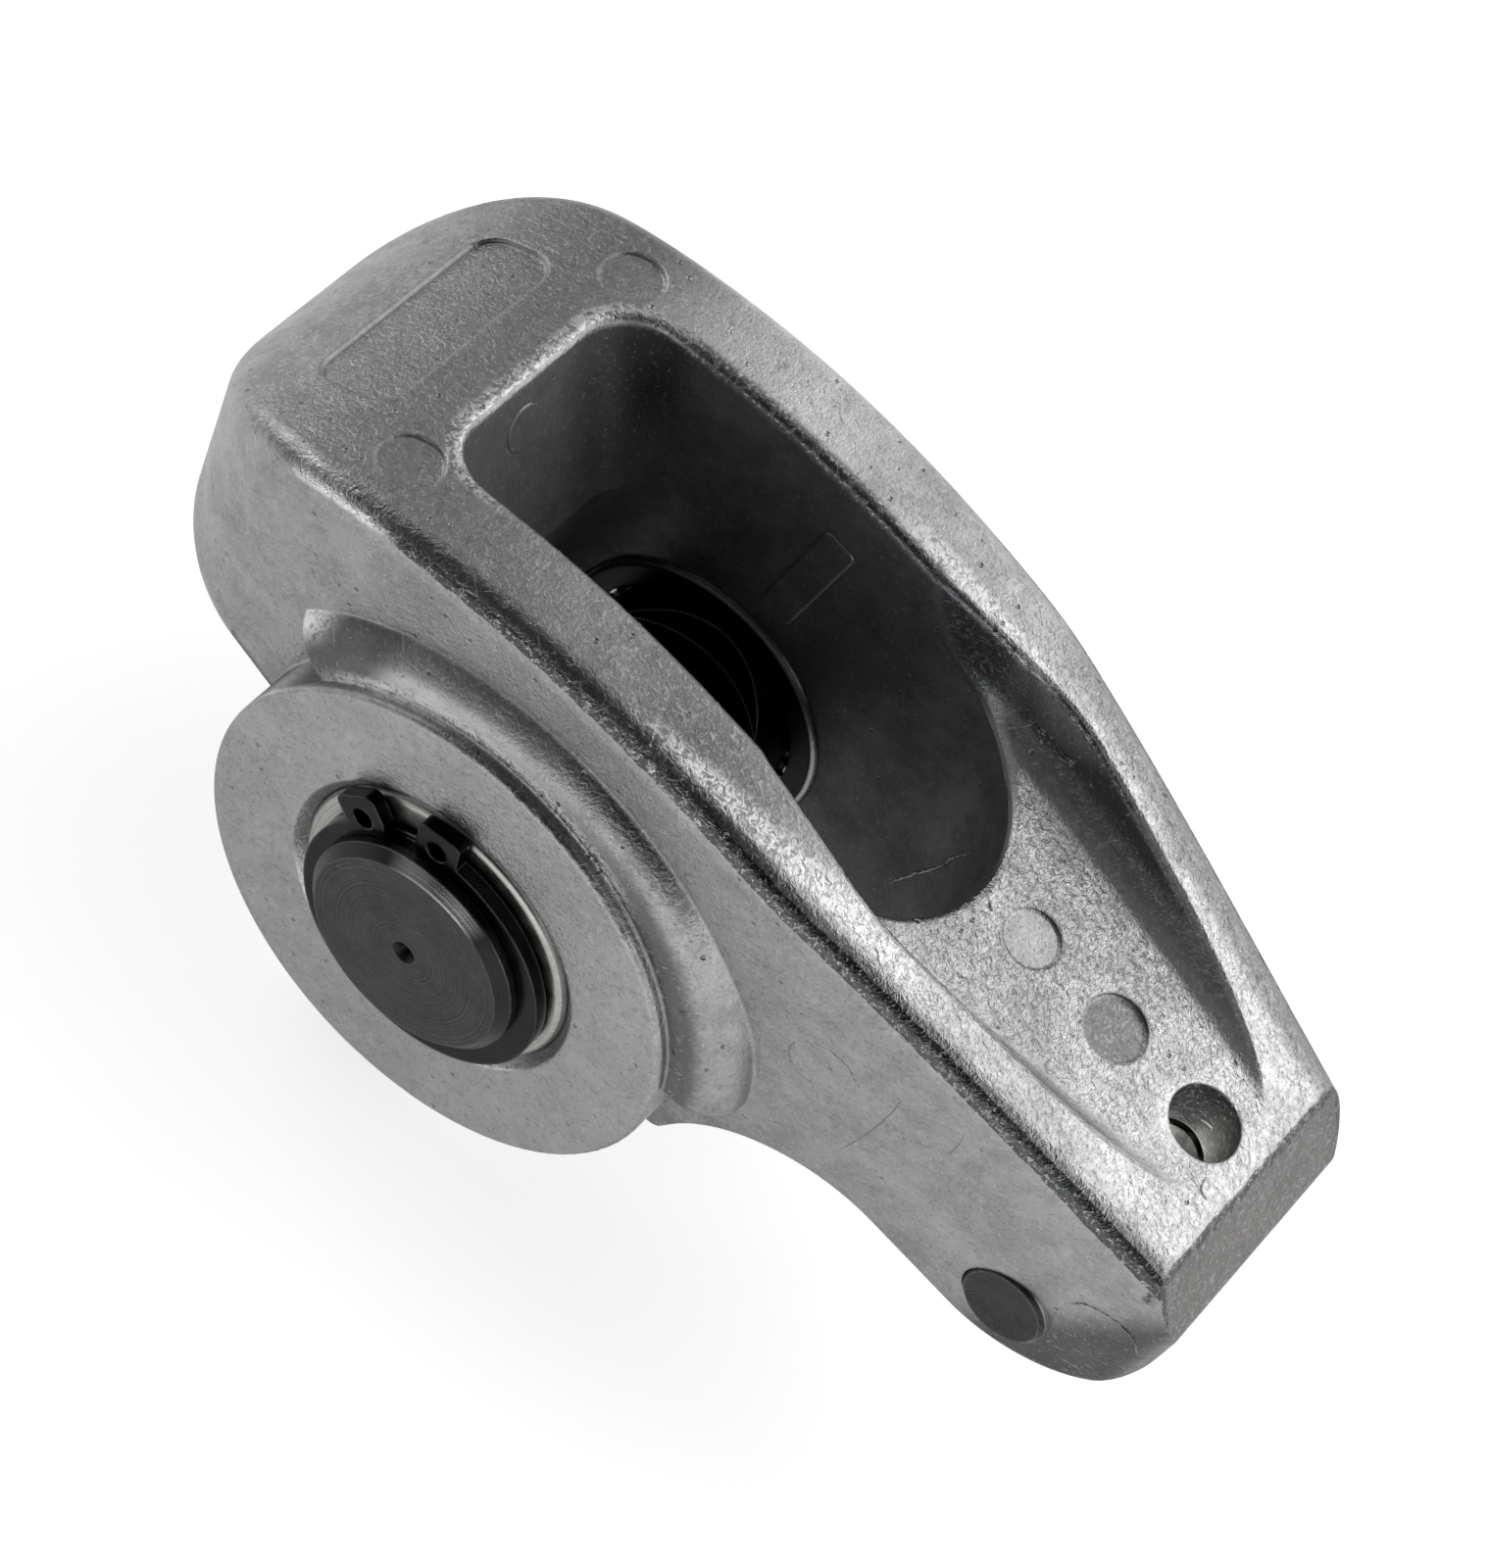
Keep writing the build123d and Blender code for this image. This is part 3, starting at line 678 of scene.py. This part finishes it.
# Painted light and shade inside the slot: lighter at the rear and darker at the front, the far half of the
# rear wall darker, and the front wall darker low and lighter high.
slot_shade_tone = product(
    tree,
    remap(tree, x, SLOT_REAR_X, 0.021, 1.5, 0.9),
    toned(tree, remap(tree, x, -0.010, -0.013), remap(tree, y, 0.0015, 0.0060, 1.1, 0.55)),
    toned(tree, remap(tree, x, 0.012, 0.019), remap(tree, z, 0.0, 0.016, 0.70, 1.9)),
)
slot_skin_and_shade = scaled(tree, blend_colour(tree, patches, *SLOT_SKIN_AND_SHADE), slot_shade_tone)
colour = blend_colour(tree, inside, colour, slot_skin_and_shade)
print("cast aluminium after its broad tones:", len(tree.nodes), "nodes")

# %% Coats of local colour, painted shade and painted highlights, from broad shades to hairlines
calm = inverse(tree, calc(tree, "MULTIPLY", largest(tree, cove, rail_wall_shade, flare_end_shade), 0.8))
speck = product(
    tree,
    remap(tree, grain, 0.58, 0.68, 0.0, 0.45),
    calm,
    toned(tree, inside, 0.5),
    toned(tree, rear_wall, 2.2),
)
dark_speck = product(tree, remap(tree, grain, 0.40, 0.31, 0.0, 0.50), outside)
fleck = product(tree, remap(tree, crinkle, 0.54, 0.66, 0.0, 0.35), outside, calm)
smudge = product(tree, remap(tree, crinkle, 0.44, 0.34, 0.0, 0.30), outside)
colour = layered(
    tree,
    colour,
    # Painted light and shade in the cove round the boss.
    (cove, 0.85, grey(tree, remap(tree, x, -0.010, 0.012, 0.58, 0.10))),
    # Painted light on the cove's outer rise.
    (cove_rise_light, 0.8, (0.27, 0.272, 0.276)),
    # Painted shade on the rear end of the flare.
    (flare_end_shade, 0.9, (0.15, 0.152, 0.156)),
    # Painted highlight on the lower edge of the bore.
    (bore_edge_highlight, 0.8, (0.9, 0.9, 0.89)),
    (cove_glint, 0.75, (0.85, 0.86, 0.87)),
    # Painted light on the fillet under the rail walls, then painted shade on the rail walls.
    (inner_fillet_light, 1.0, (0.30, 0.302, 0.305)),
    (rail_wall_shade, 0.85, (0.035, 0.036, 0.038)),
    # Painted shade on the nose's end face.
    (nose_end_shade, 0.9, (0.150, 0.143, 0.136)),
    # Painted highlight on the slot's front lip.
    (lip, 0.75, (0.9, 0.9, 0.9)),
    # Painted shade in the oil hole.
    (oil_wall_shade, 0.95, (0.022, 0.022, 0.021)),
    # Painted shade on the far rim, then a painted highlight on the rear rim and painted glints on the far
    # rim.
    (far_rim_shade, 0.85, (0.12, 0.125, 0.133)),
    (rear_rim_highlight, 0.8, (0.85, 0.85, 0.85)),
    (rim_highlight_flecks, 0.7, (0.80, 0.81, 0.84)),
    (discs[0], 0.75, (0.12, 0.12, 0.118)),
    (discs[1], 0.35, (0.24, 0.24, 0.24)),
    (discs[2], 0.30, (0.30, 0.275, 0.25)),
    (machined, 1.0, blend_colour(tree, patches, *MILLED_METAL)),
    # Painted shade in the pits.
    (pitted, 0.6, (0.10, 0.10, 0.10)),
    # Dark painted reflection along the ridges, with painted glints.
    (ridge, 0.88, (0.045, 0.047, 0.049)),
    (ridge_highlight_flecks, 0.6, (0.55, 0.56, 0.57)),
    # Painted highlight streaks on the rails.
    (rail_highlight_streak, 0.7, (0.95, 0.95, 0.95)),
    (broken_glint, 1.0, (0.95, 0.95, 0.95)),
    (speck, 1.0, (0.50, 0.505, 0.51)),
    (dark_speck, 1.0, (0.10, 0.10, 0.10)),
    (fleck, 1.0, (0.56, 0.565, 0.57)),
    (smudge, 1.0, (0.13, 0.132, 0.134)),
    (product(tree, lines, outside), 1.0, (0.46, 0.465, 0.47)),
    (edges.outputs["Mask"], 0.25, (0.52, 0.53, 0.54)),
)
join(tree, colour, shader.inputs["Base Color"])
print("cast aluminium after its coats:", len(tree.nodes), "nodes")

# %% Sheen and relief of the casting
STAIN_AND_LIGHT_METALLIC = 0.35
CAST_RELIEF_DEPTH = 0.00011
rough = remap(tree, patches, 0.0, 1.0, 0.40, 0.30)
for mask, change in ((nose, -0.06), (ridge, -0.06), (ridge_glint, -0.12), (inside, 0.12), (flare_end_shade, 0.25)):
    rough = calc(tree, "ADD", rough, calc(tree, "MULTIPLY", mask, change))
join(tree, rough, shader.inputs["Roughness"])
# Less metallic on the slot's stained skin, and also on the oil hole's wall, the fillet under the rail walls
# and the cove's rise, so that these catch the room's light and look lighter.
stained_and_lightened = largest(tree, inside, oil_wall_shade, inner_fillet_light, calc(tree, "MULTIPLY", cove_rise_light, 0.75))
join(tree, remap(tree, stained_and_lightened, 0.0, 1.0, 1.0, STAIN_AND_LIGHT_METALLIC, smooth=False), shader.inputs["Metallic"])
flat_nose = zone(tree, nose, unmarked, (sideways, 0.40, 0.10))
crinkled = calc(tree, "ADD", calc(tree, "MULTIPLY", flat_nose, 0.9), 0.40)
height = calc(tree, "MULTIPLY", grain, 0.40)
height = calc(tree, "ADD", height, calc(tree, "MULTIPLY", crinkle, crinkled))
height = calc(tree, "SUBTRACT", height, calc(tree, "MULTIPLY", pitted, 0.8))
height = calc(tree, "SUBTRACT", height, calc(tree, "MULTIPLY", lines, 0.25))
rugged = inverse(tree, calc(tree, "MULTIPLY", inside, 0.7))
height = calc(tree, "MULTIPLY", height, rugged)
relief(tree, shader, height, 1.0, CAST_RELIEF_DEPTH, edges.outputs["Soft Normal"])
print("cast aluminium in all:", len(tree.nodes), "nodes")

# %% [markdown]
# ## Steels
#
# The trunnion is turned and blacked, so its ends keep fine rings under a dark skin. Its chamfer is
# painted dark with a painted highlight where it faces up, and its centre dimple is painted dark:
# painted shade. The rings that hold it are stamped and phosphated. The cups are drawn and satin,
# with painted shade deep in their bores, the needles and the roller are ground, and the pin is hard
# and dark. They are all one metal worked in different ways, so one function makes them all, and
# each call says how that piece was worked.

# %% Steel finishes
# Bare steel for worn edges and the pin's side, and also the colour of the painted highlight on the
# trunnion's chamfer.
BARE_STEEL_AND_HIGHLIGHT = (0.50, 0.50, 0.49)
CHAMFER_SHADE = (0.03, 0.03, 0.03)
DIMPLE_SHADE = (0.008, 0.008, 0.008)
BORE_SHADE = (0.012, 0.012, 0.012)
HAIRLINE_GAIN = 2.2
CUP_RIM_RADIUS = 0.0099
CUP_INNER_END = 0.0095
ROLLER_AXIS_X = 0.0419


def steel(
    title,
    low,
    high,
    roughness,
    ring_centre=None,
    ring_depth=0.00001,
    edge=0.4,
    dark_inside=None,
    chamfer=None,
    side=None,
):
    """A worked steel: cloudy colour, hairlines, worn edges, and lathe rings round ring_centre.

    Past dark_inside the bore is painted dark, as painted shade. The tone side lays bare metal on
    the side faces. The tone chamfer is a painted highlight where the chamfer faces up; the rest of
    the chamfer and the centre dimple are painted dark, as painted shade. Both dark_inside and
    chamfer need the rings.
    """
    made, tree, shader = new_material(title, roughness=roughness)
    clouds = use_group(tree, mottle, {"Patch Scale": 500.0, "Grain Scale": 6000.0})
    hairs = use_group(tree, scratches, {"Scale": 6500.0, "Stretch": 0.03, "Amount": 0.35})
    edges = use_group(tree, edge_wear, {"Radius": 0.00025, "Breakup": 1400.0})
    scratch_colour = tuple(min(1.0, HAIRLINE_GAIN * c) for c in high)
    colour = blend_colour(tree, clouds.outputs["Patches"], low, high)
    colour = blend_colour(tree, hairs.outputs["Lines"], colour, scratch_colour)
    colour = blend_colour(tree, calc(tree, "MULTIPLY", edges.outputs["Mask"], edge), colour, BARE_STEEL_AND_HIGHLIGHT)
    height = clouds.outputs["Grain"]
    outward_x, outward_y, outward_z = point_axes(tree, "Normal")
    outward = calc(tree, "ABSOLUTE", outward_y)
    if ring_centre is not None:
        rings = use_group(tree, turning, {"Centre X": ring_centre, "Ring Scale": 6500.0})
        ring_radius = rings.outputs["Radius"]
        colour = scaled(tree, colour, remap(tree, rings.outputs["Rings"], 0.35, 0.65, 0.72, 1.30))
        height = calc(tree, "ADD", calc(tree, "MULTIPLY", height, 0.25), rings.outputs["Rings"])
    # Painted shade deep in the cup's bore, full inside the rim's radius and weaker beyond it.
    if dark_inside is not None:
        depth = calc(tree, "ABSOLUTE", point_axes(tree, "Object")[1])
        far_in = remap(tree, depth, dark_inside + 0.0004, dark_inside)
        rim_shade_strength = remap(tree, ring_radius, CUP_RIM_RADIUS, CUP_RIM_RADIUS + 0.0001, 1.0, 0.25)
        colour = layered(tree, colour, (far_in, rim_shade_strength, BORE_SHADE))
    # Painted shade on the chamfer and in the centre dimple, and a painted highlight where the chamfer faces
    # up.
    if chamfer is not None:
        sloped = zone(tree, (outward, 0.35, 0.5), (outward, 0.95, 0.85), (ring_radius, 0.003, 0.004))
        lit = zone(tree, sloped, (outward_z, 0.48, 0.62), (outward_x, 0.34, 0.12), (outward_x, -0.40, -0.20))
        dimple = remap(tree, ring_radius, 0.0003, 0.0014, 0.85, 0.0)
        colour = layered(
            tree, colour, (sloped, 0.85, CHAMFER_SHADE), (lit, 1.0, chamfer), (dimple, 1.0, DIMPLE_SHADE)
        )
    if side is not None:
        colour = layered(tree, colour, (remap(tree, outward, 0.55, 0.25), 1.0, side))
    join(tree, colour, shader.inputs["Base Color"])
    spread = remap(tree, clouds.outputs["Patches"], 0.0, 1.0, roughness * 0.85, roughness * 1.2)
    join(tree, spread, shader.inputs["Roughness"])
    relief(tree, shader, height, 0.5, ring_depth, edges.outputs["Soft Normal"])
    return made


finishes = {
    "cast_aluminium": cast,
    "black_oxide_steel": steel(
        "black oxide steel",
        (0.038, 0.037, 0.036),
        (0.066, 0.064, 0.062),
        0.30,
        ring_centre=0.0,
        ring_depth=0.00003,
        # The chamfer's painted highlight.
        chamfer=BARE_STEEL_AND_HIGHLIGHT,
    ),
    "drawn_cup_steel": steel(
        "drawn cup steel",
        (0.36, 0.355, 0.34),
        (0.50, 0.49, 0.47),
        0.34,
        ring_centre=0.0,
        ring_depth=0.000006,
        dark_inside=CUP_INNER_END,
    ),
    "bearing_steel": steel("bearing steel", (0.52, 0.52, 0.51), (0.64, 0.64, 0.63), 0.18),
    "spring_steel": steel(
        "spring steel", (0.009, 0.009, 0.009), (0.018, 0.018, 0.017), 0.22, edge=0.12
    ),
    "pin_steel": steel(
        "pin steel",
        (0.035, 0.034, 0.033),
        (0.06, 0.058, 0.056),
        0.34,
        ring_centre=ROLLER_AXIS_X,
        ring_depth=0.000012,
        side=BARE_STEEL_AND_HIGHLIGHT,
    ),
    "ground_steel": steel(
        "ground steel",
        (0.43, 0.42, 0.39),
        (0.56, 0.55, 0.51),
        0.40,
        ring_centre=ROLLER_AXIS_X,
        ring_depth=0.000005,
    ),
    "seat_steel": steel("seat steel", (0.22, 0.215, 0.21), (0.33, 0.325, 0.32), 0.28),
}
for part in frame["record"]["subparts"]:
    shown = nodes[part["node"]]
    shown.data.materials.clear()
    shown.data.materials.append(finishes[part["material_slot"]])
print("finishes:", sorted(finishes))

# %% [markdown]
# ## What the foundry left behind
#
# The die leaves small raised forms: a ragged seam where two die halves meet on the front of the
# slot, the witness of an ejector pin on the slot's rear wall, a bare pad on its far wall, a
# faint round witness on the flank, and hair-thin heat cracks of the die. A knock beside the oil
# hole has thrown up a burr, another has nicked the nose floor, and the pin scuffed the metal as
# it was pressed in. Bump alone would vanish at a low angle, so each is a thin piece of geometry
# sunk into the casting, riding the arm. Seams, cracks and scuffs are uneven beads along a
# curve, and witnesses and pads are low plates with round corners.

# %% A bead along a curve
chance = random.Random(7)
foundry_marks = []


def through(points, steps):
    """A smooth curve through the points, as a list of places."""
    spots = [Vector(p) for p in points]
    spots = [2 * spots[0] - spots[1]] + spots + [2 * spots[-1] - spots[-2]]
    path = []
    for a, b, c, d in zip(spots, spots[1:], spots[2:], spots[3:]):
        for step in range(steps):
            t = step / steps
            spot = b * 2 + (c - a) * t + (a * 2 - b * 5 + c * 4 - d) * t**2 + (b * 3 - a - c * 3 + d) * t**3
            path.append(spot / 2)
    path.append(spots[-2])
    return path


def keep(title, shape, finish, smooth=True):
    """Makes an object of the mesh in shape, gives it its finish and lets it ride the arm."""
    mesh = bpy.data.meshes.new(title)
    bmesh.ops.recalc_face_normals(shape, faces=shape.faces)
    shape.to_mesh(mesh)
    shape.free()
    for face in mesh.polygons:
        face.use_smooth = smooth
    piece = bpy.data.objects.new(title, mesh)
    bpy.context.scene.collection.objects.link(piece)
    piece.data.materials.append(finish)
    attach(piece, "arm")
    foundry_marks.append(title)


def bridge(shape, rows):
    """Joins closed rows of points with faces, and closes both ends."""
    for before, after in zip(rows, rows[1:]):
        for place in range(len(before)):
            following = (place + 1) % len(before)
            shape.faces.new((before[place], before[following], after[following], after[place]))
    shape.faces.new(rows[0])
    shape.faces.new(rows[-1])


def bead(title, points, radius, finish, steps=10, around=8, wander=0.3):
    """A thin uneven bead along a curve, thinner at both ends."""
    path = through(points, steps)
    shape = bmesh.new()
    rows = []
    for place, spot in enumerate(path):
        ahead = path[min(place + 1, len(path) - 1)] - path[max(place - 1, 0)]
        ahead.normalize()
        first = ahead.orthogonal().normalized()
        second = ahead.cross(first)
        along = place / (len(path) - 1)
        taper = max(0.15, min(1.0, 6 * along, 6 * (1 - along)))
        size = radius * taper * (1 + chance.uniform(-wander, wander))
        spot = spot + (first * chance.uniform(-1, 1) + second * chance.uniform(-1, 1)) * radius * wander
        row = []
        for corner in range(around):
            angle = 2 * math.pi * corner / around
            row.append(shape.verts.new(spot + (first * math.cos(angle) + second * math.sin(angle)) * size))
        rows.append(row)
    bridge(shape, rows)
    keep(title, shape, finish)


# %% A low plate with round corners
def pad(title, centre, outward, up, width, length, corner, height, sunk=0.0002, bevel=0.00005):
    """A low plate with round corners on a wall: outward is the wall's direction, up its length."""
    outward = Vector(outward).normalized()
    up = (Vector(up) - outward * Vector(up).dot(outward)).normalized()
    across = up.cross(outward)
    centre = Vector(centre)
    shape = bmesh.new()
    rows = []
    for level, inset in ((-sunk, 0.0), (height - bevel, 0.0), (height, bevel)):
        row = []
        for quarter in range(4):
            sign_across = 1 if quarter in (0, 3) else -1
            sign_up = 1 if quarter in (0, 1) else -1
            for step in range(7):
                angle = math.pi / 2 * (quarter + step / 6)
                reach_across = sign_across * (width / 2 - corner) + (corner - inset) * math.cos(angle)
                reach_up = sign_up * (length / 2 - corner) + (corner - inset) * math.sin(angle)
                row.append(shape.verts.new(centre + across * reach_across + up * reach_up + outward * level))
        rows.append(row)
    bridge(shape, rows)
    keep(title, shape, cast, smooth=False)


# %% Fresh metal for the seam and the scuff
fresh, tree, shader = new_material("fresh aluminium", metallic=0.6, roughness=0.38)
clouds = use_group(tree, mottle, {"Patch Scale": 900.0, "Grain Scale": 5000.0})
fresh_colour = blend_colour(tree, clouds.outputs["Patches"], (0.24, 0.24, 0.235), (0.40, 0.40, 0.395))
join(tree, fresh_colour, shader.inputs["Base Color"])
relief(tree, shader, clouds.outputs["Grain"], 0.6, 0.00004)
print("finish for broken skin:", fresh.name)

# %% The die's seam and the scuff beside the pin
SEAM_RADIUS = 0.00010
SCUFF_RADIUS = 0.00005
SEAM = [(66, -0.0001), (59, 0.0034), (50, 0.0074), (47, 0.0097), (40, 0.0124)]
SCUFF = [
    (0.04443, -0.01032, 0.00648),
    (0.04553, -0.01030, 0.00818),
    (0.04755, -0.01007, 0.00863),
    (0.04927, -0.00976, 0.00777),
    (0.05047, -0.00890, 0.00476),
]
seam_points = []
for degrees, level in SEAM:
    angle = math.radians(degrees)
    seam_x = SLOT_ROUND_X + SLOT_HALF_WIDTH * math.cos(angle)
    seam_points.append((seam_x, SLOT_HALF_WIDTH * math.sin(angle), level))
bead("die_seam", seam_points, SEAM_RADIUS, fresh, steps=14, wander=0.55)
bead("pin_scuff", SCUFF, SCUFF_RADIUS, fresh, steps=22, wander=0.9)
print("beads so far:", foundry_marks)

# %% Witnesses of the ejector pins, and the bare pad in the slot
REAR_WALL_FACING = (0.914, 0.0, 0.405)
FLANK_FACING = (0.128, -0.989, -0.075)
pad(
    "ejector_witness",
    (-0.01583, -0.0010, 0.02195),
    REAR_WALL_FACING,
    (0, 1, 0),
    width=0.0034,
    length=0.0034,
    corner=0.00169,
    height=0.00008,
)
pad(
    "slot_pad",
    (0.0021, SLOT_HALF_WIDTH, 0.0172),
    (0, -1, 0),
    (0.12, 0, 1),
    width=0.0026,
    length=0.0100,
    corner=0.0006,
    height=0.00010,
)
pad(
    "flank_witness",
    (0.02394, -0.01353, 0.01198),
    FLANK_FACING,
    (0, 0, 1),
    width=0.0048,
    length=0.0048,
    corner=0.00239,
    height=0.00003,
)
print("plates so far:", foundry_marks[2:])

# %% Burr, nick and heat cracks
BURR = [(0.04528, -0.00262, 0.01583), (0.04560, -0.00355, 0.01576), (0.04640, -0.00372, 0.01550)]
NICK = [(0.02440, -0.00040, 0.01829), (0.02465, -0.00075, 0.01826), (0.02495, -0.00085, 0.01823)]
LONG_CRACK = [
    (0.0288, -0.01313, 0.0152),
    (0.02884, -0.01287, 0.0120),
    (0.02852, -0.01260, 0.00813),
    (0.02791, -0.01239, 0.00435),
]
SHORT_CRACK = [(0.03287, -0.01267, 0.01638), (0.0331, -0.01250, 0.0145), (0.03303, -0.01234, 0.01249)]
CRACK_RADIUS = 0.00004
bead("knock_burr", BURR, 0.00009, cast)
bead("floor_nick", NICK, 0.00008, cast)
bead("heat_crack_long", LONG_CRACK, CRACK_RADIUS, cast)
bead("heat_crack_short", SHORT_CRACK, CRACK_RADIUS, cast)
print("foundry marks:", foundry_marks)

# %% [markdown]
# ## Floor and light
#
# The picture is a cut-out on white. A broad pale floor stands in for the paper. Seen by the
# camera and in reflections it glows to white, and it still takes the soft shadow of the arm,
# which a plain white background could not.

# %% Floor
FLOOR_SIZE = 6.0
FLOOR_GAP = 0.0002
CAMERA_GLOW = 0.72
MIRRORED_GLOW = 0.45
reach = FLOOR_SIZE / 2
floor_z = cad_box[0].z - FLOOR_GAP
floor_mesh = bpy.data.meshes.new("floor")
floor_mesh.from_pydata(
    [(-reach, -reach, floor_z), (reach, -reach, floor_z), (reach, reach, floor_z), (-reach, reach, floor_z)],
    [],
    [(0, 1, 2, 3)],
)
floor = bpy.data.objects.new("floor", floor_mesh)
bpy.context.scene.collection.objects.link(floor)
paper, tree, shader = new_material("white paper", metallic=0.0, roughness=0.9)
shader.inputs["Base Color"].default_value = (0.8, 0.8, 0.8, 1.0)
shader.inputs["Specular IOR Level"].default_value = 0.0
shader.inputs["Emission Color"].default_value = (1.0, 1.0, 1.0, 1.0)
rays = add_node(tree, "ShaderNodeLightPath")
seen = largest(tree, rays.outputs["Is Camera Ray"], rays.outputs["Is Transmission Ray"])
seen_glow = calc(tree, "MULTIPLY", seen, CAMERA_GLOW)
mirrored_glow = calc(tree, "MULTIPLY", rays.outputs["Is Glossy Ray"], MIRRORED_GLOW)
join(tree, calc(tree, "ADD", seen_glow, mirrored_glow), shader.inputs["Emission Strength"])
floor.data.materials.append(paper)
print("floor at", round(floor_z * 1000, 2), "mm")

# %% [markdown]
# ## The room
#
# Bare metal shows mostly what it mirrors, so the room matters more than the lamps. It is
# brighter toward the nose and dimmer toward the rear, with a dark zone on the side from which
# the photograph looks, like the dark end of a studio behind the lens. That zone gives the
# casting its dark reflections, and it keeps its own place when the view turns. A lit picture of a
# room would do the same, but a few values are easier to tune. The camera itself sees plain
# white where the floor ends.

# %% World
MIDDLE = Vector((0.008, 0.0, 0.004))
DARK_ZONE_EDGE = math.radians(58)
DARK_ZONE_CORE = math.radians(40)
DARK_ZONE_TONE = (0.02, 0.02, 0.02)
REAR_BRIGHTNESS = 0.30
FRONT_BRIGHTNESS = 1.2
world = bpy.data.worlds.new("studio")
bpy.context.scene.world = world
world.use_nodes = True
tree = world.node_tree
back = tree.nodes["Background"]
direction = add_node(tree, "ShaderNodeTexCoord")
facing = add_node(tree, "ShaderNodeVectorMath", operation="DOT_PRODUCT")
join(tree, direction.outputs["Generated"], facing.inputs[0])
facing.inputs[1].default_value = (CAMERA_PLACE - MIDDLE).normalized()
darkness = remap(tree, facing.outputs["Value"], math.cos(DARK_ZONE_EDGE), math.cos(DARK_ZONE_CORE))
compass = add_node(tree, "ShaderNodeSeparateXYZ")
join(tree, direction.outputs["Generated"], compass.inputs["Vector"])
room = grey(tree, remap(tree, compass.outputs["X"], -0.50, 0.10, REAR_BRIGHTNESS, FRONT_BRIGHTNESS))
mirrored = blend_colour(tree, darkness, room, DARK_ZONE_TONE)
sight = add_node(tree, "ShaderNodeLightPath")
level = blend_colour(tree, sight.outputs["Is Camera Ray"], mirrored, (1.0, 1.0, 1.0))
join(tree, level, back.inputs["Color"])
back.inputs["Strength"].default_value = 1.0
print("world:", world.name)


# %% Lamps
def hang(title, data, place, aim):
    """Hangs a lamp at a place and turns it toward the point aim."""
    lamp = bpy.data.objects.new(title, data)
    bpy.context.scene.collection.objects.link(lamp)
    lamp.location = place
    lamp.rotation_euler = (Vector(place) - Vector(aim)).to_track_quat("Z", "Y").to_euler()


def softbox(title, place, width, height, power):
    """A rectangular lamp that faces the middle of the arm."""
    data = bpy.data.lights.new(title, "AREA")
    data.shape = "RECTANGLE"
    data.size = width
    data.size_y = height
    data.energy = power
    hang(title, data, place, MIDDLE)


softbox("back right", (0.50, 0.48, 0.50), 0.45, 0.45, 0.5)
softbox("left", (-0.70, 0.15, 0.35), 0.35, 0.5, 1.3)
softbox("front low", (0.15, -0.75, 0.12), 0.6, 0.3, 0.8)

OIL_HOLE_MOUTH = Vector((OIL_HOLE_X - 0.0006, -0.0004, 0.0163))
HOLE_LIGHT_DISTANCE = 0.3
HOLE_LIGHT_FROM = Vector((-0.03, -0.44, 0.90))
hole_light_data = bpy.data.lights.new("into the oil hole", "SPOT")
hole_light_data.energy = 20.0
hole_light_data.spot_size = math.radians(1.0)
hole_light_data.spot_blend = 0.6
hole_light_data.shadow_soft_size = 0.0008
hole_light_place = OIL_HOLE_MOUTH + HOLE_LIGHT_FROM * HOLE_LIGHT_DISTANCE
hang("into the oil hole", hole_light_data, hole_light_place, OIL_HOLE_MOUTH)
print("lamps:", [lamp.name for lamp in bpy.data.lights])

# %% Colour view
bpy.context.scene.view_settings.view_transform = "Standard"
bpy.context.view_layer.update()
